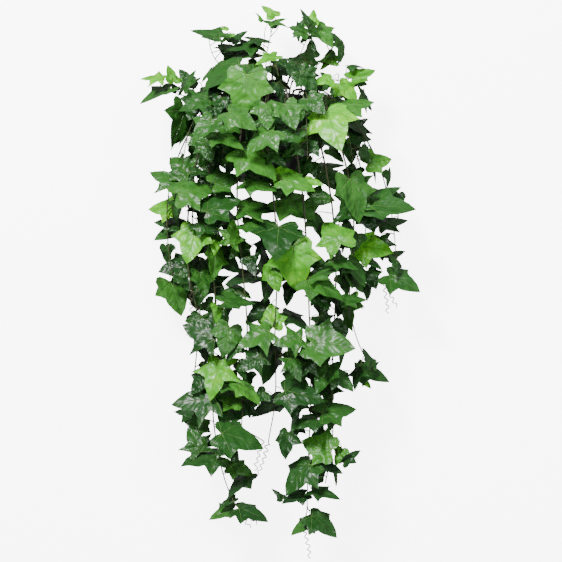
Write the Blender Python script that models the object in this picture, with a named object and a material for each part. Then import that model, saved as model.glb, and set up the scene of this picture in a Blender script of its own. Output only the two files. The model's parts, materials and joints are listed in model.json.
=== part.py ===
"""Wall pot of trailing ivy: a half-round plastic pot that hangs flat on a wall, its potting soil, and the
ivy vines that grow out of it. Metres, +Z up, +Y into the wall; the origin is the middle of the pot's back."""

import math
import random
from collections import namedtuple

import bmesh
import bpy
import numpy as np
from mathutils import Matrix, Vector
from mathutils.bvhtree import BVHTree

# Pot: half an ellipse in plan, wider at the rim than at the floor.
RIM_HALF_WIDTH = 0.072
FLOOR_HALF_WIDTH = 0.056
RIM_DEPTH = 0.122
FLOOR_DEPTH = 0.094
POT_TOP = 0.068
POT_FLOOR = -0.068
WALL = 0.0024
RIM_BAND = 0.008
RIM_PROUD = 0.0028
PLAN_STEPS = 18
TAB_HALF_WIDTH = 0.020
TAB_TOP = 0.104
TAB_HOLE = 0.0055
TAB_HOLE_HEIGHT = 0.086
DRAIN_RADIUS = 0.0045
DRAINS = ((-0.028, -0.034), (0.028, -0.034), (0.0, -0.066))

# Soil: a plug that stands clear of the pot, with a hole for each rooted stem.
FIT_GAP = 0.0004
SOIL_TOP = 0.050
SOIL_CROWN = 0.004
PLANTING_DEPTH = 0.008
PLANTING_CLEARANCE = 0.0006

# Ivy.
STEM_SAMPLE = 0.006
STEM_GAP = 0.0062
STEM_TIP = 0.55
STEM_CLEARANCE = 0.0012
POT_CLEARANCE = 0.007
STAND_OFF = 1.12
NECK = 0.016
STALK_RADIUS = 0.0006
LEAF_JOINT = 0.0013
LEAF_HALF_THICKNESS = 0.0005
BLADE_CLEARANCE = 0.0010
TENDRIL_RADIUS = 0.0007
TENDRIL_PITCH = 0.0052
TENDRIL_SWING = 0.0034
LONGEST_RUN = 0.040
MOST_TURN = math.radians(17)
TRIES = 24
SMALL_LEAF = 0.036
LONGEST_LEAF = 0.072
LEAF_SPREAD = 1.18
STALK_REACH = 0.016
LONGEST_STALK = 0.055
FORWARD = 0.030
STEM_COVER = 0.008
CROWN_MIDDLE = (0.005, 0.034)
CROWN_HALF = (0.130, 0.092)

# Half outlines of a leaf one unit long, from its stalk to its tip; the other half mirrors them.
FIVE_LOBES = ((0.39, -0.15), (0.40, 0.08), (0.60, 0.33), (0.31, 0.46))
STAR_LOBES = ((0.42, -0.10), (0.30, 0.12), (0.62, 0.40), (0.24, 0.47))
THREE_LOBES = ((0.46, 0.10), (0.26, 0.42))
STAR_CURL = 3
# How far the right half, the left half and the tip stand off the leaf's plane, in leaf lengths.
CURLS = (
    ((-0.05, 0.00, -0.08, 0.01), (-0.05, 0.00, -0.08, 0.01), -0.12),
    ((0.07, 0.04, 0.10, 0.05), (0.06, 0.04, 0.12, 0.05), -0.06),
    ((-0.10, -0.02, -0.15, -0.02), (-0.09, -0.02, -0.17, -0.02), -0.24),
    ((0.05, 0.02, 0.07, 0.03), (-0.09, -0.02, -0.14, -0.02), -0.10),
)

Vine = namedtuple("Vine", "name root route first spacing sizes facing droop seed")
Shoot = namedtuple("Shoot", "at stalk frame size curl mark")

# Each vine: its root in the soil (x, y), the points it passes through, the distance to its first leaf, the
# distance between leaves, leaf length at both ends, the way it faces (degrees, 0 is away from the wall and
# + is right), how much its leaves hang and its seed.
VINES = [
    Vine("crown_front_left", (-0.030, -0.062),
         [(-0.046, -0.095, 0.094), (-0.064, -0.134, 0.070), (-0.072, -0.154, 0.020), (-0.078, -0.156, -0.040)],
         0.054, 0.013, (0.062, 0.050), -12, 0.9, 1),
    Vine("crown_front", (-0.004, -0.068),
         [(-0.008, -0.102, 0.098), (-0.014, -0.144, 0.076), (-0.016, -0.166, 0.026), (-0.014, -0.170, -0.030)],
         0.050, 0.013, (0.074, 0.052), 0, 0.9, 2),
    Vine("crown_front_right", (0.024, -0.066),
         [(0.034, -0.098, 0.096), (0.048, -0.136, 0.072), (0.054, -0.158, 0.018), (0.056, -0.160, -0.040)],
         0.052, 0.013, (0.062, 0.050), 12, 0.9, 3),
    Vine("crown_middle", (-0.002, -0.050),
         [(0.000, -0.082, 0.122), (0.006, -0.118, 0.116), (0.010, -0.146, 0.092)],
         0.040, 0.013, (0.058, 0.056), 0, 0.6, 4),
    Vine("crown_middle_left", (-0.020, -0.048),
         [(-0.038, -0.074, 0.116), (-0.064, -0.106, 0.106), (-0.084, -0.126, 0.078)],
         0.038, 0.013, (0.056, 0.056), -20, 0.6, 5),
    Vine("crown_middle_right", (0.016, -0.050),
         [(0.034, -0.078, 0.118), (0.060, -0.108, 0.104), (0.080, -0.124, 0.076)],
         0.040, 0.013, (0.056, 0.054), 20, 0.6, 6),
    Vine("crown_high_left", (-0.022, -0.030),
         [(-0.034, -0.044, 0.106), (-0.058, -0.060, 0.126), (-0.086, -0.074, 0.112)],
         0.036, 0.013, (0.050, 0.048), -15, 0.3, 7),
    Vine("crown_high_middle", (0.002, -0.032),
         [(0.000, -0.046, 0.116), (-0.012, -0.064, 0.138), (-0.022, -0.086, 0.132)],
         0.036, 0.013, (0.050, 0.046), 0, 0.3, 8),
    Vine("crown_high_right", (0.026, -0.034),
         [(0.034, -0.048, 0.110), (0.050, -0.066, 0.130), (0.066, -0.086, 0.118)],
         0.036, 0.013, (0.052, 0.046), 15, 0.3, 9),
    Vine("crown_left", (-0.048, -0.042),
         [(-0.076, -0.054, 0.090), (-0.110, -0.070, 0.080), (-0.138, -0.080, 0.048)],
         0.036, 0.013, (0.052, 0.050), -35, 0.6, 10),
    Vine("crown_right", (0.048, -0.042),
         [(0.076, -0.054, 0.092), (0.104, -0.070, 0.082), (0.128, -0.082, 0.056)],
         0.036, 0.013, (0.052, 0.048), 35, 0.6, 11),
    Vine("crown_low_left", (-0.050, -0.058),
         [(-0.080, -0.074, 0.082), (-0.112, -0.090, 0.052), (-0.136, -0.098, 0.005), (-0.144, -0.100, -0.045)],
         0.036, 0.013, (0.054, 0.048), -30, 0.9, 12),
    Vine("crown_low_right", (0.050, -0.058),
         [(0.080, -0.074, 0.082), (0.106, -0.090, 0.050), (0.124, -0.098, 0.000), (0.130, -0.100, -0.050)],
         0.036, 0.013, (0.054, 0.048), 30, 0.9, 13),
    Vine("sprig_far_left", (-0.050, -0.026),
         [(-0.080, -0.034, 0.088), (-0.118, -0.042, 0.072), (-0.150, -0.048, 0.070), (-0.184, -0.054, 0.086)],
         0.104, 0.013, (0.030, 0.025), -10, -0.5, 14),
    Vine("sprig_upper_left", (-0.034, -0.018),
         [(-0.056, -0.028, 0.100), (-0.088, -0.036, 0.122), (-0.104, -0.042, 0.148), (-0.104, -0.044, 0.176)],
         0.076, 0.014, (0.040, 0.027), -8, -0.4, 15),
    Vine("sprig_top_middle", (-0.008, -0.018),
         [(-0.012, -0.026, 0.112), (-0.008, -0.032, 0.152), (0.002, -0.036, 0.192)],
         0.086, 0.014, (0.040, 0.025), 0, -0.5, 16),
    Vine("sprig_top_right", (0.014, -0.018),
         [(0.030, -0.028, 0.108), (0.048, -0.036, 0.146), (0.064, -0.040, 0.182)],
         0.076, 0.015, (0.042, 0.032), 6, -0.4, 17),
    Vine("sprig_high_right", (0.034, -0.018),
         [(0.058, -0.028, 0.108), (0.084, -0.034, 0.132), (0.104, -0.038, 0.158)],
         0.066, 0.015, (0.044, 0.032), 10, -0.3, 18),
    Vine("sprig_right", (0.050, -0.026),
         [(0.078, -0.036, 0.094), (0.108, -0.044, 0.096), (0.142, -0.050, 0.102)],
         0.062, 0.015, (0.040, 0.028), 12, -0.2, 19),
    Vine("trail_centre", (-0.002, -0.086),
         [(-0.006, -0.136, 0.076), (-0.008, -0.150, -0.010), (0.004, -0.138, -0.120), (0.008, -0.122, -0.220),
          (0.004, -0.108, -0.320), (0.006, -0.098, -0.400), (0.002, -0.092, -0.446)],
         0.070, 0.020, (0.058, 0.036), 0, 1.0, 20),
    Vine("trail_long_right", (0.014, -0.084),
         [(0.022, -0.134, 0.076), (0.034, -0.148, 0.000), (0.050, -0.134, -0.110), (0.056, -0.120, -0.210),
          (0.060, -0.108, -0.310), (0.062, -0.096, -0.420), (0.058, -0.088, -0.520), (0.056, -0.082, -0.606)],
         0.070, 0.020, (0.058, 0.032), 4, 1.0, 21),
    Vine("trail_left_inner", (-0.018, -0.084),
         [(-0.034, -0.128, 0.076), (-0.050, -0.140, 0.000), (-0.056, -0.128, -0.110), (-0.048, -0.112, -0.210),
          (-0.040, -0.100, -0.310), (-0.046, -0.090, -0.400), (-0.050, -0.084, -0.470)],
         0.070, 0.020, (0.056, 0.036), -6, 1.0, 22),
    Vine("trail_right_inner", (0.030, -0.082),
         [(0.050, -0.122, 0.076), (0.072, -0.132, 0.005), (0.094, -0.120, -0.100), (0.102, -0.108, -0.200),
          (0.100, -0.096, -0.300), (0.096, -0.088, -0.400), (0.098, -0.080, -0.490), (0.086, -0.074, -0.560)],
         0.070, 0.020, (0.056, 0.036), 10, 1.0, 23),
    Vine("trail_long_left", (-0.034, -0.080),
         [(-0.062, -0.112, 0.078), (-0.086, -0.122, 0.020), (-0.102, -0.112, -0.070), (-0.104, -0.098, -0.160),
          (-0.092, -0.086, -0.260), (-0.096, -0.076, -0.360), (-0.096, -0.068, -0.460), (-0.080, -0.060, -0.550),
          (-0.062, -0.056, -0.596)],
         0.070, 0.020, (0.056, 0.032), -10, 1.0, 24),
    Vine("trail_left", (-0.043, -0.067),
         [(-0.078, -0.094, 0.080), (-0.108, -0.102, 0.010), (-0.132, -0.092, -0.090), (-0.138, -0.082, -0.200),
          (-0.120, -0.074, -0.300), (-0.128, -0.068, -0.400), (-0.124, -0.062, -0.490)],
         0.070, 0.020, (0.054, 0.042), -18, 1.0, 25),
    Vine("trail_right_spray", (0.042, -0.072),
         [(0.070, -0.096, 0.080), (0.100, -0.104, 0.015), (0.126, -0.096, -0.080), (0.132, -0.088, -0.180),
          (0.124, -0.080, -0.260), (0.138, -0.074, -0.330), (0.164, -0.068, -0.380)],
         0.070, 0.020, (0.054, 0.044), 15, 1.0, 26),
    Vine("trail_outer_left", (-0.054, -0.046),
         [(-0.084, -0.058, 0.076), (-0.124, -0.064, 0.030), (-0.158, -0.062, -0.040), (-0.172, -0.058, -0.110),
          (-0.170, -0.054, -0.180), (-0.160, -0.050, -0.244)],
         0.060, 0.020, (0.050, 0.036), -30, 0.9, 27),
    Vine("trail_outer_right", (0.054, -0.046),
         [(0.084, -0.058, 0.076), (0.128, -0.064, 0.034), (0.166, -0.062, -0.024), (0.188, -0.058, -0.090),
          (0.200, -0.054, -0.160), (0.202, -0.050, -0.222)],
         0.060, 0.020, (0.052, 0.042), 28, 0.9, 28),
    Vine("trail_right_wall", (0.052, -0.032),
         [(0.080, -0.038, 0.078), (0.120, -0.040, 0.024), (0.146, -0.038, -0.050), (0.154, -0.036, -0.130),
          (0.148, -0.034, -0.200), (0.138, -0.034, -0.248)],
         0.060, 0.020, (0.050, 0.040), 25, 0.9, 29),
    Vine("trail_left_wall", (-0.054, -0.034),
         [(-0.080, -0.040, 0.076), (-0.114, -0.042, 0.020), (-0.130, -0.040, -0.070), (-0.130, -0.038, -0.160),
          (-0.122, -0.036, -0.250), (-0.116, -0.034, -0.320)],
         0.060, 0.020, (0.050, 0.044), -25, 0.9, 30),
]


# The leaves that show from the front, the foremost first: where each blade starts and where its tip is
# (x, z), and how wide it looks from the front, in millimetres.
FRONT_LEAVES = (
    (-176, 94, -216, 99, 24), (-160, 89, -169, 120, 32), (-143, 76, -127, 114, 18),
    (-166, 79, -215, 55, 10), (-85, 161, -134, 179, 32), (-77, 185, -102, 174, 16),
    (-67, 171, -87, 153, 16), (-73, 145, -99, 154, 12), (-66, 158, -41, 181, 28), (4, 198, -18, 220, 28),
    (-16, 190, -27, 208, 12), (2, 188, 24, 197, 18), (8, 179, -20, 192, 14), (-1, 182, 26, 178, 14),
    (66, 183, 66, 212, 30), (61, 175, 46, 210, 20), (56, 164, 26, 184, 28), (59, 166, 44, 153, 18),
    (72, 180, 99, 147, 41), (84, 176, 122, 158, 28), (112, 159, 114, 122, 14), (94, 123, 96, 156, 45),
    (130, 96, 168, 113, 36), (122, 116, 153, 120, 16), (60, 121, 63, 165, 30), (-39, 91, -44, 18, 93),
    (6, 130, -28, 116, 24), (-23, 153, -78, 147, 28), (-37, 162, 1, 162, 16), (53, 126, 26, 135, 24),
    (94, 91, 63, 84, 32), (109, 87, 138, 58, 41), (108, 41, 164, 61, 41), (118, 30, 156, 7, 28),
    (87, 35, 105, -20, 85), (69, 75, 13, 59, 41), (-19, 62, 36, 49, 20), (-52, 112, -112, 75, 53),
    (-25, 124, -54, 99, 36), (-27, 140, -69, 131, 28), (-98, 59, -149, 41, 45), (-106, 80, -128, 60, 24),
    (-142, 45, -156, -17, 45), (-67, 30, -23, 5, 49), (-98, 1, -42, -24, 49), (-107, -13, -95, -42, 41),
    (-37, -39, -74, -42, 32), (-48, -28, 10, -64, 61), (2, 1, -42, -28, 49), (-135, -60, -167, -29, 53),
    (-153, -76, -199, -52, 49), (-129, -60, -100, -58, 20), (-148, -95, -90, -77, 57),
    (-91, -78, -47, -64, 45), (-154, -103, -105, -112, 28), (-103, -124, -50, -97, 53),
    (-158, -112, -207, -110, 45), (-154, -140, -197, -131, 32), (-147, -145, -196, -163, 41),
    (-122, -150, -137, -204, 65), (-118, -139, -82, -153, 36), (-62, -137, -127, -124, 32),
    (-91, -161, -91, -191, 34), (-67, -174, -58, -132, 41), (-43, -77, 8, -88, 45),
    (-53, -117, 17, -113, 53), (19, -74, 68, -88, 41), (14, -102, 72, -131, 57), (52, -74, 81, -80, 28),
    (8, -65, 50, -65, 41), (32, -178, 41, -251, 85), (6, -133, 10, -167, 49), (10, -147, 6, -198, 89),
    (108, -174, 83, -130, 65), (97, -167, 94, -196, 36), (106, -175, 136, -178, 18),
    (66, -128, 85, -163, 32), (130, -116, 95, -134, 28), (122, -71, 140, -140, 65),
    (133, -110, 164, -117, 28), (140, -175, 195, -180, 61), (163, -100, 209, -75, 41),
    (159, -113, 230, -115, 53), (173, -143, 222, -129, 41), (190, -195, 219, -177, 28),
    (154, -43, 195, -32, 45), (125, 3, 164, 3, 32), (123, -1, 130, -41, 41), (72, -49, 120, -38, 32),
    (53, -19, 100, -33, 36), (80, -54, 112, -83, 41), (137, -47, 115, -76, 36), (57, -6, 24, -20, 28),
    (43, -22, 14, -37, 32), (-10, 44, -6, 4, 49), (20, 44, 37, 4, 53), (-89, 23, -49, 9, 36),
    (57, 56, 83, 31, 45), (-1, 118, 24, 85, 41), (34, 117, 70, 99, 32), (-93, 18, -122, -15, 45),
    (37, 4, -2, -21, 45), (63, 21, 41, -5, 36), (21, 85, 50, 70, 36), (-1, 66, 31, 37, 41),
    (63, -41, 34, -66, 41), (-5, -31, 24, -53, 36), (93, -15, 118, -37, 32), (-27, 20, 2, -1, 41),
    (-77, 89, -102, 63, 41), (-113, 31, -124, -9, 36), (96, 60, 121, 31, 36), (-47, 93, -80, 111, 32),
    (60, -97, 100, -101, 45), (-44, -142, -4, -153, 32), (-56, -174, -34, -203, 41),
    (0, -209, 9, -250, 45), (-6, -198, -10, -267, 45), (-25, -225, -78, -237, 28),
    (-71, -244, -33, -253, 28), (-77, -267, -26, -266, 28), (-92, -182, -94, -231, 36),
    (-117, -219, -106, -258, 36), (-120, -199, -127, -246, 32), (-137, -207, -186, -211, 53),
    (-169, -234, -148, -289, 61), (-154, -255, -197, -270, 36), (0, -306, -3, -266, 47),
    (-5, -274, -45, -300, 41), (0, -267, 76, -276, 36), (17, -284, 65, -311, 36),
    (56, -232, 114, -251, 41), (59, -228, 107, -209, 32), (64, -252, 93, -277, 36),
    (110, -263, 152, -259, 32), (123, -260, 118, -311, 32), (95, -200, 137, -211, 32),
    (122, -199, 151, -239, 36), (155, -216, 169, -245, 41), (189, -223, 240, -246, 49),
    (153, -197, 180, -212, 24), (-89, -271, -87, -303, 28), (-92, -325, -146, -300, 69),
    (-68, -306, -78, -353, 57), (-4, -313, -57, -335, 53), (47, -324, 2, -331, 45),
    (62, -330, 132, -337, 73), (69, -337, 44, -344, 41), (-18, -352, -54, -374, 49),
    (0, -334, -10, -399, 49), (-54, -336, -76, -358, 28), (28, -355, 46, -391, 45),
    (63, -355, 34, -388, 49), (-83, -360, -102, -422, 69), (92, -367, 70, -411, 45),
    (99, -381, 132, -403, 36), (142, -368, 129, -407, 16), (140, -375, 191, -393, 49),
    (159, -371, 147, -338, 20), (138, -386, 162, -406, 28), (-53, -397, -17, -426, 28),
    (-83, -391, -39, -406, 41), (20, -408, 83, -419, 57), (-92, -421, -167, -428, 69),
    (-106, -384, -131, -413, 41), (-53, -425, -97, -411, 41), (-54, -426, -83, -466, 81),
    (14, -428, -35, -452, 36), (-99, -423, -121, -459, 24), (-126, -454, -163, -440, 16),
    (-124, -458, -104, -464, 12), (-116, -507, -137, -467, 53), (-86, -515, -153, -517, 41),
    (-118, -492, -92, -496, 28), (-81, -475, -7, -495, 53), (-79, -491, -53, -524, 49),
    (-66, -531, -30, -542, 32), (-66, -535, -84, -517, 24), (-39, -546, -75, -579, 22),
    (-60, -583, -88, -597, 16), (-63, -602, -103, -615, 20), (-54, -597, -5, -612, 22),
    (26, -474, 16, -514, 41), (72, -453, 28, -464, 28), (82, -440, 60, -455, 20),
    (80, -444, 136, -433, 41), (88, -460, 146, -470, 69), (91, -397, 91, -440, 41),
    (93, -503, 46, -488, 61), (112, -501, 100, -528, 28), (114, -523, 141, -501, 16),
    (76, -528, 114, -539, 22), (60, -526, 17, -566, 53), (64, -567, 110, -577, 28),
    (52, -573, 14, -584, 22), (17, -581, -1, -563, 14), (67, -615, 28, -635, 26),
    (63, -608, 105, -637, 41),
)

# The tendrils that show: where each leaves its stem's leaves and where it ends (x, z), in millimetres.
TENDRILS = (
    (-133, -246, -130, -295), (-126, -246, -117, -300), (181, -237, 190, -285), (186, -237, 202,
    -275), (-16, -489, -28, -538), (-6, -489, -21, -544), (-58, -599, -36, -635), (-52, -599, -26,
    -629), (50, -625, 62, -680), (126, -271, 149, -275)
)


def width_at(z):
    share = (z - POT_FLOOR) / (POT_TOP - POT_FLOOR)
    return FLOOR_HALF_WIDTH + (RIM_HALF_WIDTH - FLOOR_HALF_WIDTH) * share


def depth_at(z):
    share = (z - POT_FLOOR) / (POT_TOP - POT_FLOOR)
    return FLOOR_DEPTH + (RIM_DEPTH - FLOOR_DEPTH) * share


def rim_reach(x, y, z):
    """How far out a point is from the pot's back middle, where 1 is on the pot's outer wall. Above the
    rim's height and below the floor nothing is in the way."""
    if not POT_FLOOR - POT_CLEARANCE < z < POT_TOP + POT_CLEARANCE:
        return math.inf
    level = min(max(z, POT_FLOOR), POT_TOP)
    return math.hypot(x / width_at(level), y / depth_at(level))


def smooth_route(vine):
    """The stem's centreline: a Catmull-Rom curve from the planting hole through the route's points."""
    foot = Vector((*vine.root, SOIL_TOP - PLANTING_DEPTH + FIT_GAP))
    neck = foot + Vector((0, 0, NECK))
    points = [neck] + [Vector(p) for p in vine.route]
    ends = [foot] + points + [2 * points[-1] - points[-2]]
    path = [foot, (foot + neck) / 2]
    for a, b, c, d in zip(ends, ends[1:], ends[2:], ends[3:]):
        steps = max(2, round((c - b).length / STEM_SAMPLE))
        for i in range(steps):
            t = i / steps
            path.append(0.5 * (2 * b + (c - a) * t + (2 * a - 5 * b + 4 * c - d) * t**2
                               + (3 * b - a - 3 * c + d) * t**3))
    path.append(points[-1])
    return np.array(path)


def spread_apart(paths):
    """Stems that would touch are pushed apart, and every stem is kept clear of the wall and the pot."""
    owner = np.concatenate([np.full(len(p), i) for i, p in enumerate(paths)])
    first = np.concatenate([np.arange(len(p)) < 3 for p in paths])
    points = np.concatenate(paths)
    for _ in range(30):
        push = np.zeros_like(points)
        for i in range(len(points)):
            away = points[i] - points
            gap = np.linalg.norm(away, axis=1)
            near = (gap < STEM_GAP) & (owner != owner[i]) & (gap > 1e-9)
            if near.any():
                push[i] = (away[near] / gap[near, None] * (STEM_GAP - gap[near, None])).sum(axis=0)
        inner = (owner[1:-1] == owner[:-2]) & (owner[1:-1] == owner[2:])
        push[1:-1][inner] += 0.25 * (points[:-2] + points[2:] - 2 * points[1:-1])[inner]
        points += np.where(first[:, None], 0, 0.5 * push)
        for p in (points[i] for i in np.flatnonzero(~first)):
            p[1] = min(p[1], -0.012)
            reach = rim_reach(*p)
            if 0.88 < reach < 1.0:
                p[2] = POT_TOP + POT_CLEARANCE
            elif reach < STAND_OFF:
                p[:2] *= STAND_OFF / reach if reach >= 1.0 else 1
    return [points[owner == i] for i in range(len(paths))]


def along(path, distance):
    """(point, direction) at a distance along a path."""
    steps = np.linalg.norm(np.diff(path, axis=0), axis=1)
    total = np.concatenate([[0], np.cumsum(steps)])
    i = int(np.clip(np.searchsorted(total, distance) - 1, 0, len(steps) - 1))
    t = (distance - total[i]) / steps[i]
    return Vector(path[i] + t * (path[i + 1] - path[i])), Vector(path[i + 1] - path[i]).normalized()


def length_of(path):
    return float(np.linalg.norm(np.diff(path, axis=0), axis=1).sum())


def zigzag(start, end, rng):
    """A tendril's points between two places: it swings from side to side."""
    run = end - start
    swings = max(4, round(run.length / TENDRIL_PITCH))
    side = run.normalized().cross(Vector((rng.uniform(-0.4, 0.4), 1, 0))).normalized()
    points = [start]
    for i in range(1, swings):
        swing = TENDRIL_SWING * (1 if i % 2 else -1) * rng.uniform(0.5, 1.2)
        points.append(start + run * (i / swings) + side * swing + Vector((0, rng.uniform(-0.002, 0.001), 0)))
    return points + [end]


def half_outlines(size, curl):
    """The right and left halves of a leaf's outline and its tip, in leaf lengths."""
    outline = lobes_of(size, curl)
    right_lift, left_lift, tip_lift = CURLS[curl]
    skip = 4 - len(outline)
    right = [Vector((x, y, lift)) for (x, y), lift in zip(outline, right_lift[skip:])]
    left = [Vector((-x, y, lift)) for (x, y), lift in zip(outline, left_lift[skip:])]
    return right, left, Vector((0, 1, tip_lift))


def lobes_of(size, curl):
    """A small leaf has three lobes; a grown one has five, blunt or pointed."""
    if size <= SMALL_LEAF:
        return THREE_LOBES
    return STAR_LOBES if curl == STAR_CURL else FIVE_LOBES


def blade_points(shoot):
    """The outline of a shoot's leaf, counter-clockwise from the stalk, and the middle of its blade."""
    right, left, tip = half_outlines(shoot.size, shoot.curl)
    ring = [shoot.frame @ (p * shoot.size) for p in right + [tip] + left[::-1]]
    return ring, shoot.frame @ (Vector((0, 0.26, 0.03)) * shoot.size)


def shoot_surface(shoot):
    """A stand-in for a shoot, a little thicker than it, as points and triangles, to test whether it would
    touch another. The blade's points and faces come first."""
    points, faces = [], []
    if shoot.frame:
        ring, middle = blade_points(shoot)
        off = shoot.frame.col[2].to_3d() * BLADE_CLEARANCE
        points = [shoot.frame.translation.copy()] + ring + [middle + off, middle - off]
        n = len(ring) + 1
        faces = [(n + side, i, (i + 1) % n) for side in (0, 1) for i in range(n)]
    for a, b in zip(shoot.stalk, shoot.stalk[1:]):
        run = (b - a).normalized()
        across = run.orthogonal().normalized() * 0.0010
        for side in (across, run.cross(across)):
            n = len(points)
            points += [a - side, a + side, b + side, b - side]
            faces += [(n, n + 1, n + 2), (n, n + 2, n + 3)]
    return points, faces


def tube_surface(path, radius):
    """A stem as a four-sided tube, to test leaves against."""
    points, faces = [], []
    for i, p in enumerate(path[2:]):
        a, b = path[max(i + 1, 0)], p
        run = Vector(b - a).normalized()
        across = run.orthogonal().normalized() * radius
        up = run.cross(across)
        n = len(points)
        for centre in (Vector(a), Vector(b)):
            points += [centre + across, centre + up, centre - across, centre - up]
        for k in range(4):
            j = (k + 1) % 4
            faces += [(n + k, n + j, n + 4 + j), (n + k, n + 4 + j, n + 4 + k)]
    return points, faces


def blade_frame(base, tip_way, face):
    """A leaf's own axes: x across it, y from its stalk to its tip, z out of its upper face."""
    face = (face - tip_way * face.dot(tip_way)).normalized()
    frame = Matrix((tip_way.cross(face), tip_way, face)).transposed().to_4x4()
    frame.translation = base
    return frame


def leaf_shoot(at, start, base, tip_way, face, size, curl, mark):
    """A leaf on an arched stalk."""
    reach = (base - start).length
    middle = start.lerp(base, 0.5) + Vector((0, -0.06, 0.14)) * reach
    bend = middle.lerp(base - tip_way * 0.25 * reach, 0.4)
    return Shoot(at, [start, bend, base], blade_frame(base, tip_way, face), size, curl, mark)


def fill_leaf(vine, path, distance, size, side, rng):
    """One way that a leaf behind the front ones could grow from the stem here."""
    start, run = along(path, distance)
    turn = math.radians(vine.facing + rng.uniform(-30, 30))
    facing = Vector((math.sin(turn), -math.cos(turn), 0))
    out = (run.cross(facing) * side).normalized()
    lift = rng.uniform(-0.1, 0.55) + 0.35 * (vine.droop < 0)
    leave = out * rng.uniform(0.2, 1.0) + facing * rng.uniform(-0.6, 0.9) + Vector((0, 0, lift))
    base = start + leave.normalized() * rng.uniform(0.45, 0.8) * (0.6 * size + 0.012)
    hang = Vector((0, 0, -vine.droop)) + out * rng.uniform(-0.4, 1.1) + facing * rng.uniform(-0.3, 0.5)
    tip_way = (hang + run * (0.6 if vine.droop < 0 else 0)).normalized()
    look = facing + Vector((0, 0, rng.uniform(0.0, 0.9))) + out * rng.uniform(-0.5, 0.7)
    return leaf_shoot(distance, start, base, tip_way, look, size, rng.randrange(len(CURLS)), -1)


def front_pose(row, rng):
    """A front leaf's length, its tip's direction and its face's, from how it looks from the front. Its upper
    side is turned up."""
    x, z, tip_x, tip_z, wide = row
    drawn = Vector((tip_x - x, 0, tip_z - z)) / 1000
    size = min(max(drawn.length, wide / 1000 / LEAF_SPREAD) * 1.04, LONGEST_LEAF, 1.55 * drawn.length)
    pitch = math.acos(min(1.0, drawn.length / size)) * (1 if drawn.z < 0 else -1)
    roll = math.acos(max(0.45, min(1.0, wide / 1000 / (LEAF_SPREAD * size))))
    drawn.normalize()
    ahead = Vector((0, -1, 0))
    tip_way = drawn * math.cos(pitch) + ahead * math.sin(pitch)
    face = ahead * math.cos(pitch) - drawn * math.sin(pitch)
    across = tip_way.cross(face)
    across *= rng.choice((-1, 1)) if abs(across.z) < 0.25 else math.copysign(1, across.z)
    return size, tip_way, face * math.cos(roll) + across * math.sin(roll)


def stems_near(x, z, paths, used):
    """(vine number, distance along it) of the stems that a leaf could hang from, the likeliest first."""
    found = []
    for number, path in enumerate(paths):
        steps = np.concatenate([[0], np.cumsum(np.linalg.norm(np.diff(path, axis=0), axis=1))])
        gap = np.hypot(path[:, 0] - x, path[:, 2] - z)
        cost = np.abs(gap - STALK_REACH) + 0.5 * np.maximum(0, z - path[:, 2])
        cost[(steps < 0.03) | (gap > LONGEST_STALK)] = math.inf
        for at in used[number]:
            cost[np.abs(steps - at) < 4.5 * LEAF_JOINT] = math.inf
        best = int(np.argmin(cost))
        if cost[best] < math.inf:
            found.append((float(cost[best]), number, float(steps[best])))
    return [(number, at) for _, number, at in sorted(found)[:5]]


def seen_shape(row, y):
    """How a front leaf looks from the front: its middle (x, z), its direction, its half length and half
    width, and its middle's y."""
    x, z, tip_x, tip_z, wide = (v / 1000 for v in row)
    length = math.hypot(tip_x - x, tip_z - z)
    return ((x + tip_x) / 2, (z + tip_z) / 2, (tip_x - x) / length, (tip_z - z) / length, length / 2, wide / 2, y)


def is_inside(shape, x, z, margin):
    """True if a point lies within a front leaf's outline, seen from the front."""
    middle_x, middle_z, way_x, way_z, half_length, half_width, _ = shape
    x, z = x - middle_x, z - middle_z
    return math.hypot((x * way_x + z * way_z) / (half_length + margin),
                      (x * way_z - z * way_x) / (half_width + margin)) < 1


def front_leaf(mark, paths, tubes, placed, used, seen):
    """Places one front leaf, behind those that were placed before it and that it would hide. Returns the
    number of its vine and the shoot, or None if it fits nowhere."""
    row = FRONT_LEAVES[mark]
    rng = random.Random(mark)
    size, tip_way, face = front_pose(row, rng)
    curl = rng.randrange(len(CURLS))
    x, z, tip_x, tip_z, _ = (v / 1000 for v in row)
    spine = [(x + (tip_x - x) * share, z + (tip_z - z) * share) for share in (0.0, 0.5, 1.0)]
    before = [shape[-1] for shape in seen if any(is_inside(shape, *point, 0.003) for point in spine)]
    drawn = seen_shape(row, 0.0)
    crossed = [p[1] for path in paths for p in path[::3] if is_inside(drawn, p[0], p[2], 0.0)]
    stem_front = min(crossed, default=0.0)
    for shrink in (1.0, 0.9, 0.8):
        for number, at in stems_near(x, z, paths, used):
            start, _ = along(paths[number], at)
            nearest = max([min(start.y - FORWARD, stem_front - STEM_COVER)] + [y + 0.004 for y in before])
            ahead = [nearest - 0.005 * k for k in range(1, 7)]
            behind = [nearest + 0.004 * k for k in range(1, 9)]
            for y in [nearest] + (behind + ahead if before else ahead + behind):
                base = Vector((x, y - 0.35 * size * tip_way.y, z))
                shoot = leaf_shoot(at, start, base, tip_way, face, size * shrink, curl, mark)
                if shoot_is_free(shoot, number, tubes, placed):
                    seen.append(seen_shape(row, y))
                    used[number].append(at)
                    return number, shoot
    return None


def tendril(mark, paths, tubes, placed, used):
    """Places one tendril on the nearest stem that leaves it free, as front_leaf does for a leaf."""
    x, z, end_x, end_z = (v / 1000 for v in TENDRILS[mark])
    for number, at in stems_near(x, z, paths, used):
        start, _ = along(paths[number], at)
        for forward in (0.006, 0.014, 0.022, -0.004, 0.030):
            y = start.y - forward
            points = zigzag(Vector((x, y, z)), Vector((end_x, y + 0.002, end_z)), random.Random(mark))
            shoot = Shoot(at, [start] + points, None, 0, 0, -1)
            if shoot_is_free(shoot, number, tubes, placed):
                used[number].append(at)
                return number, shoot
    return None


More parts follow.
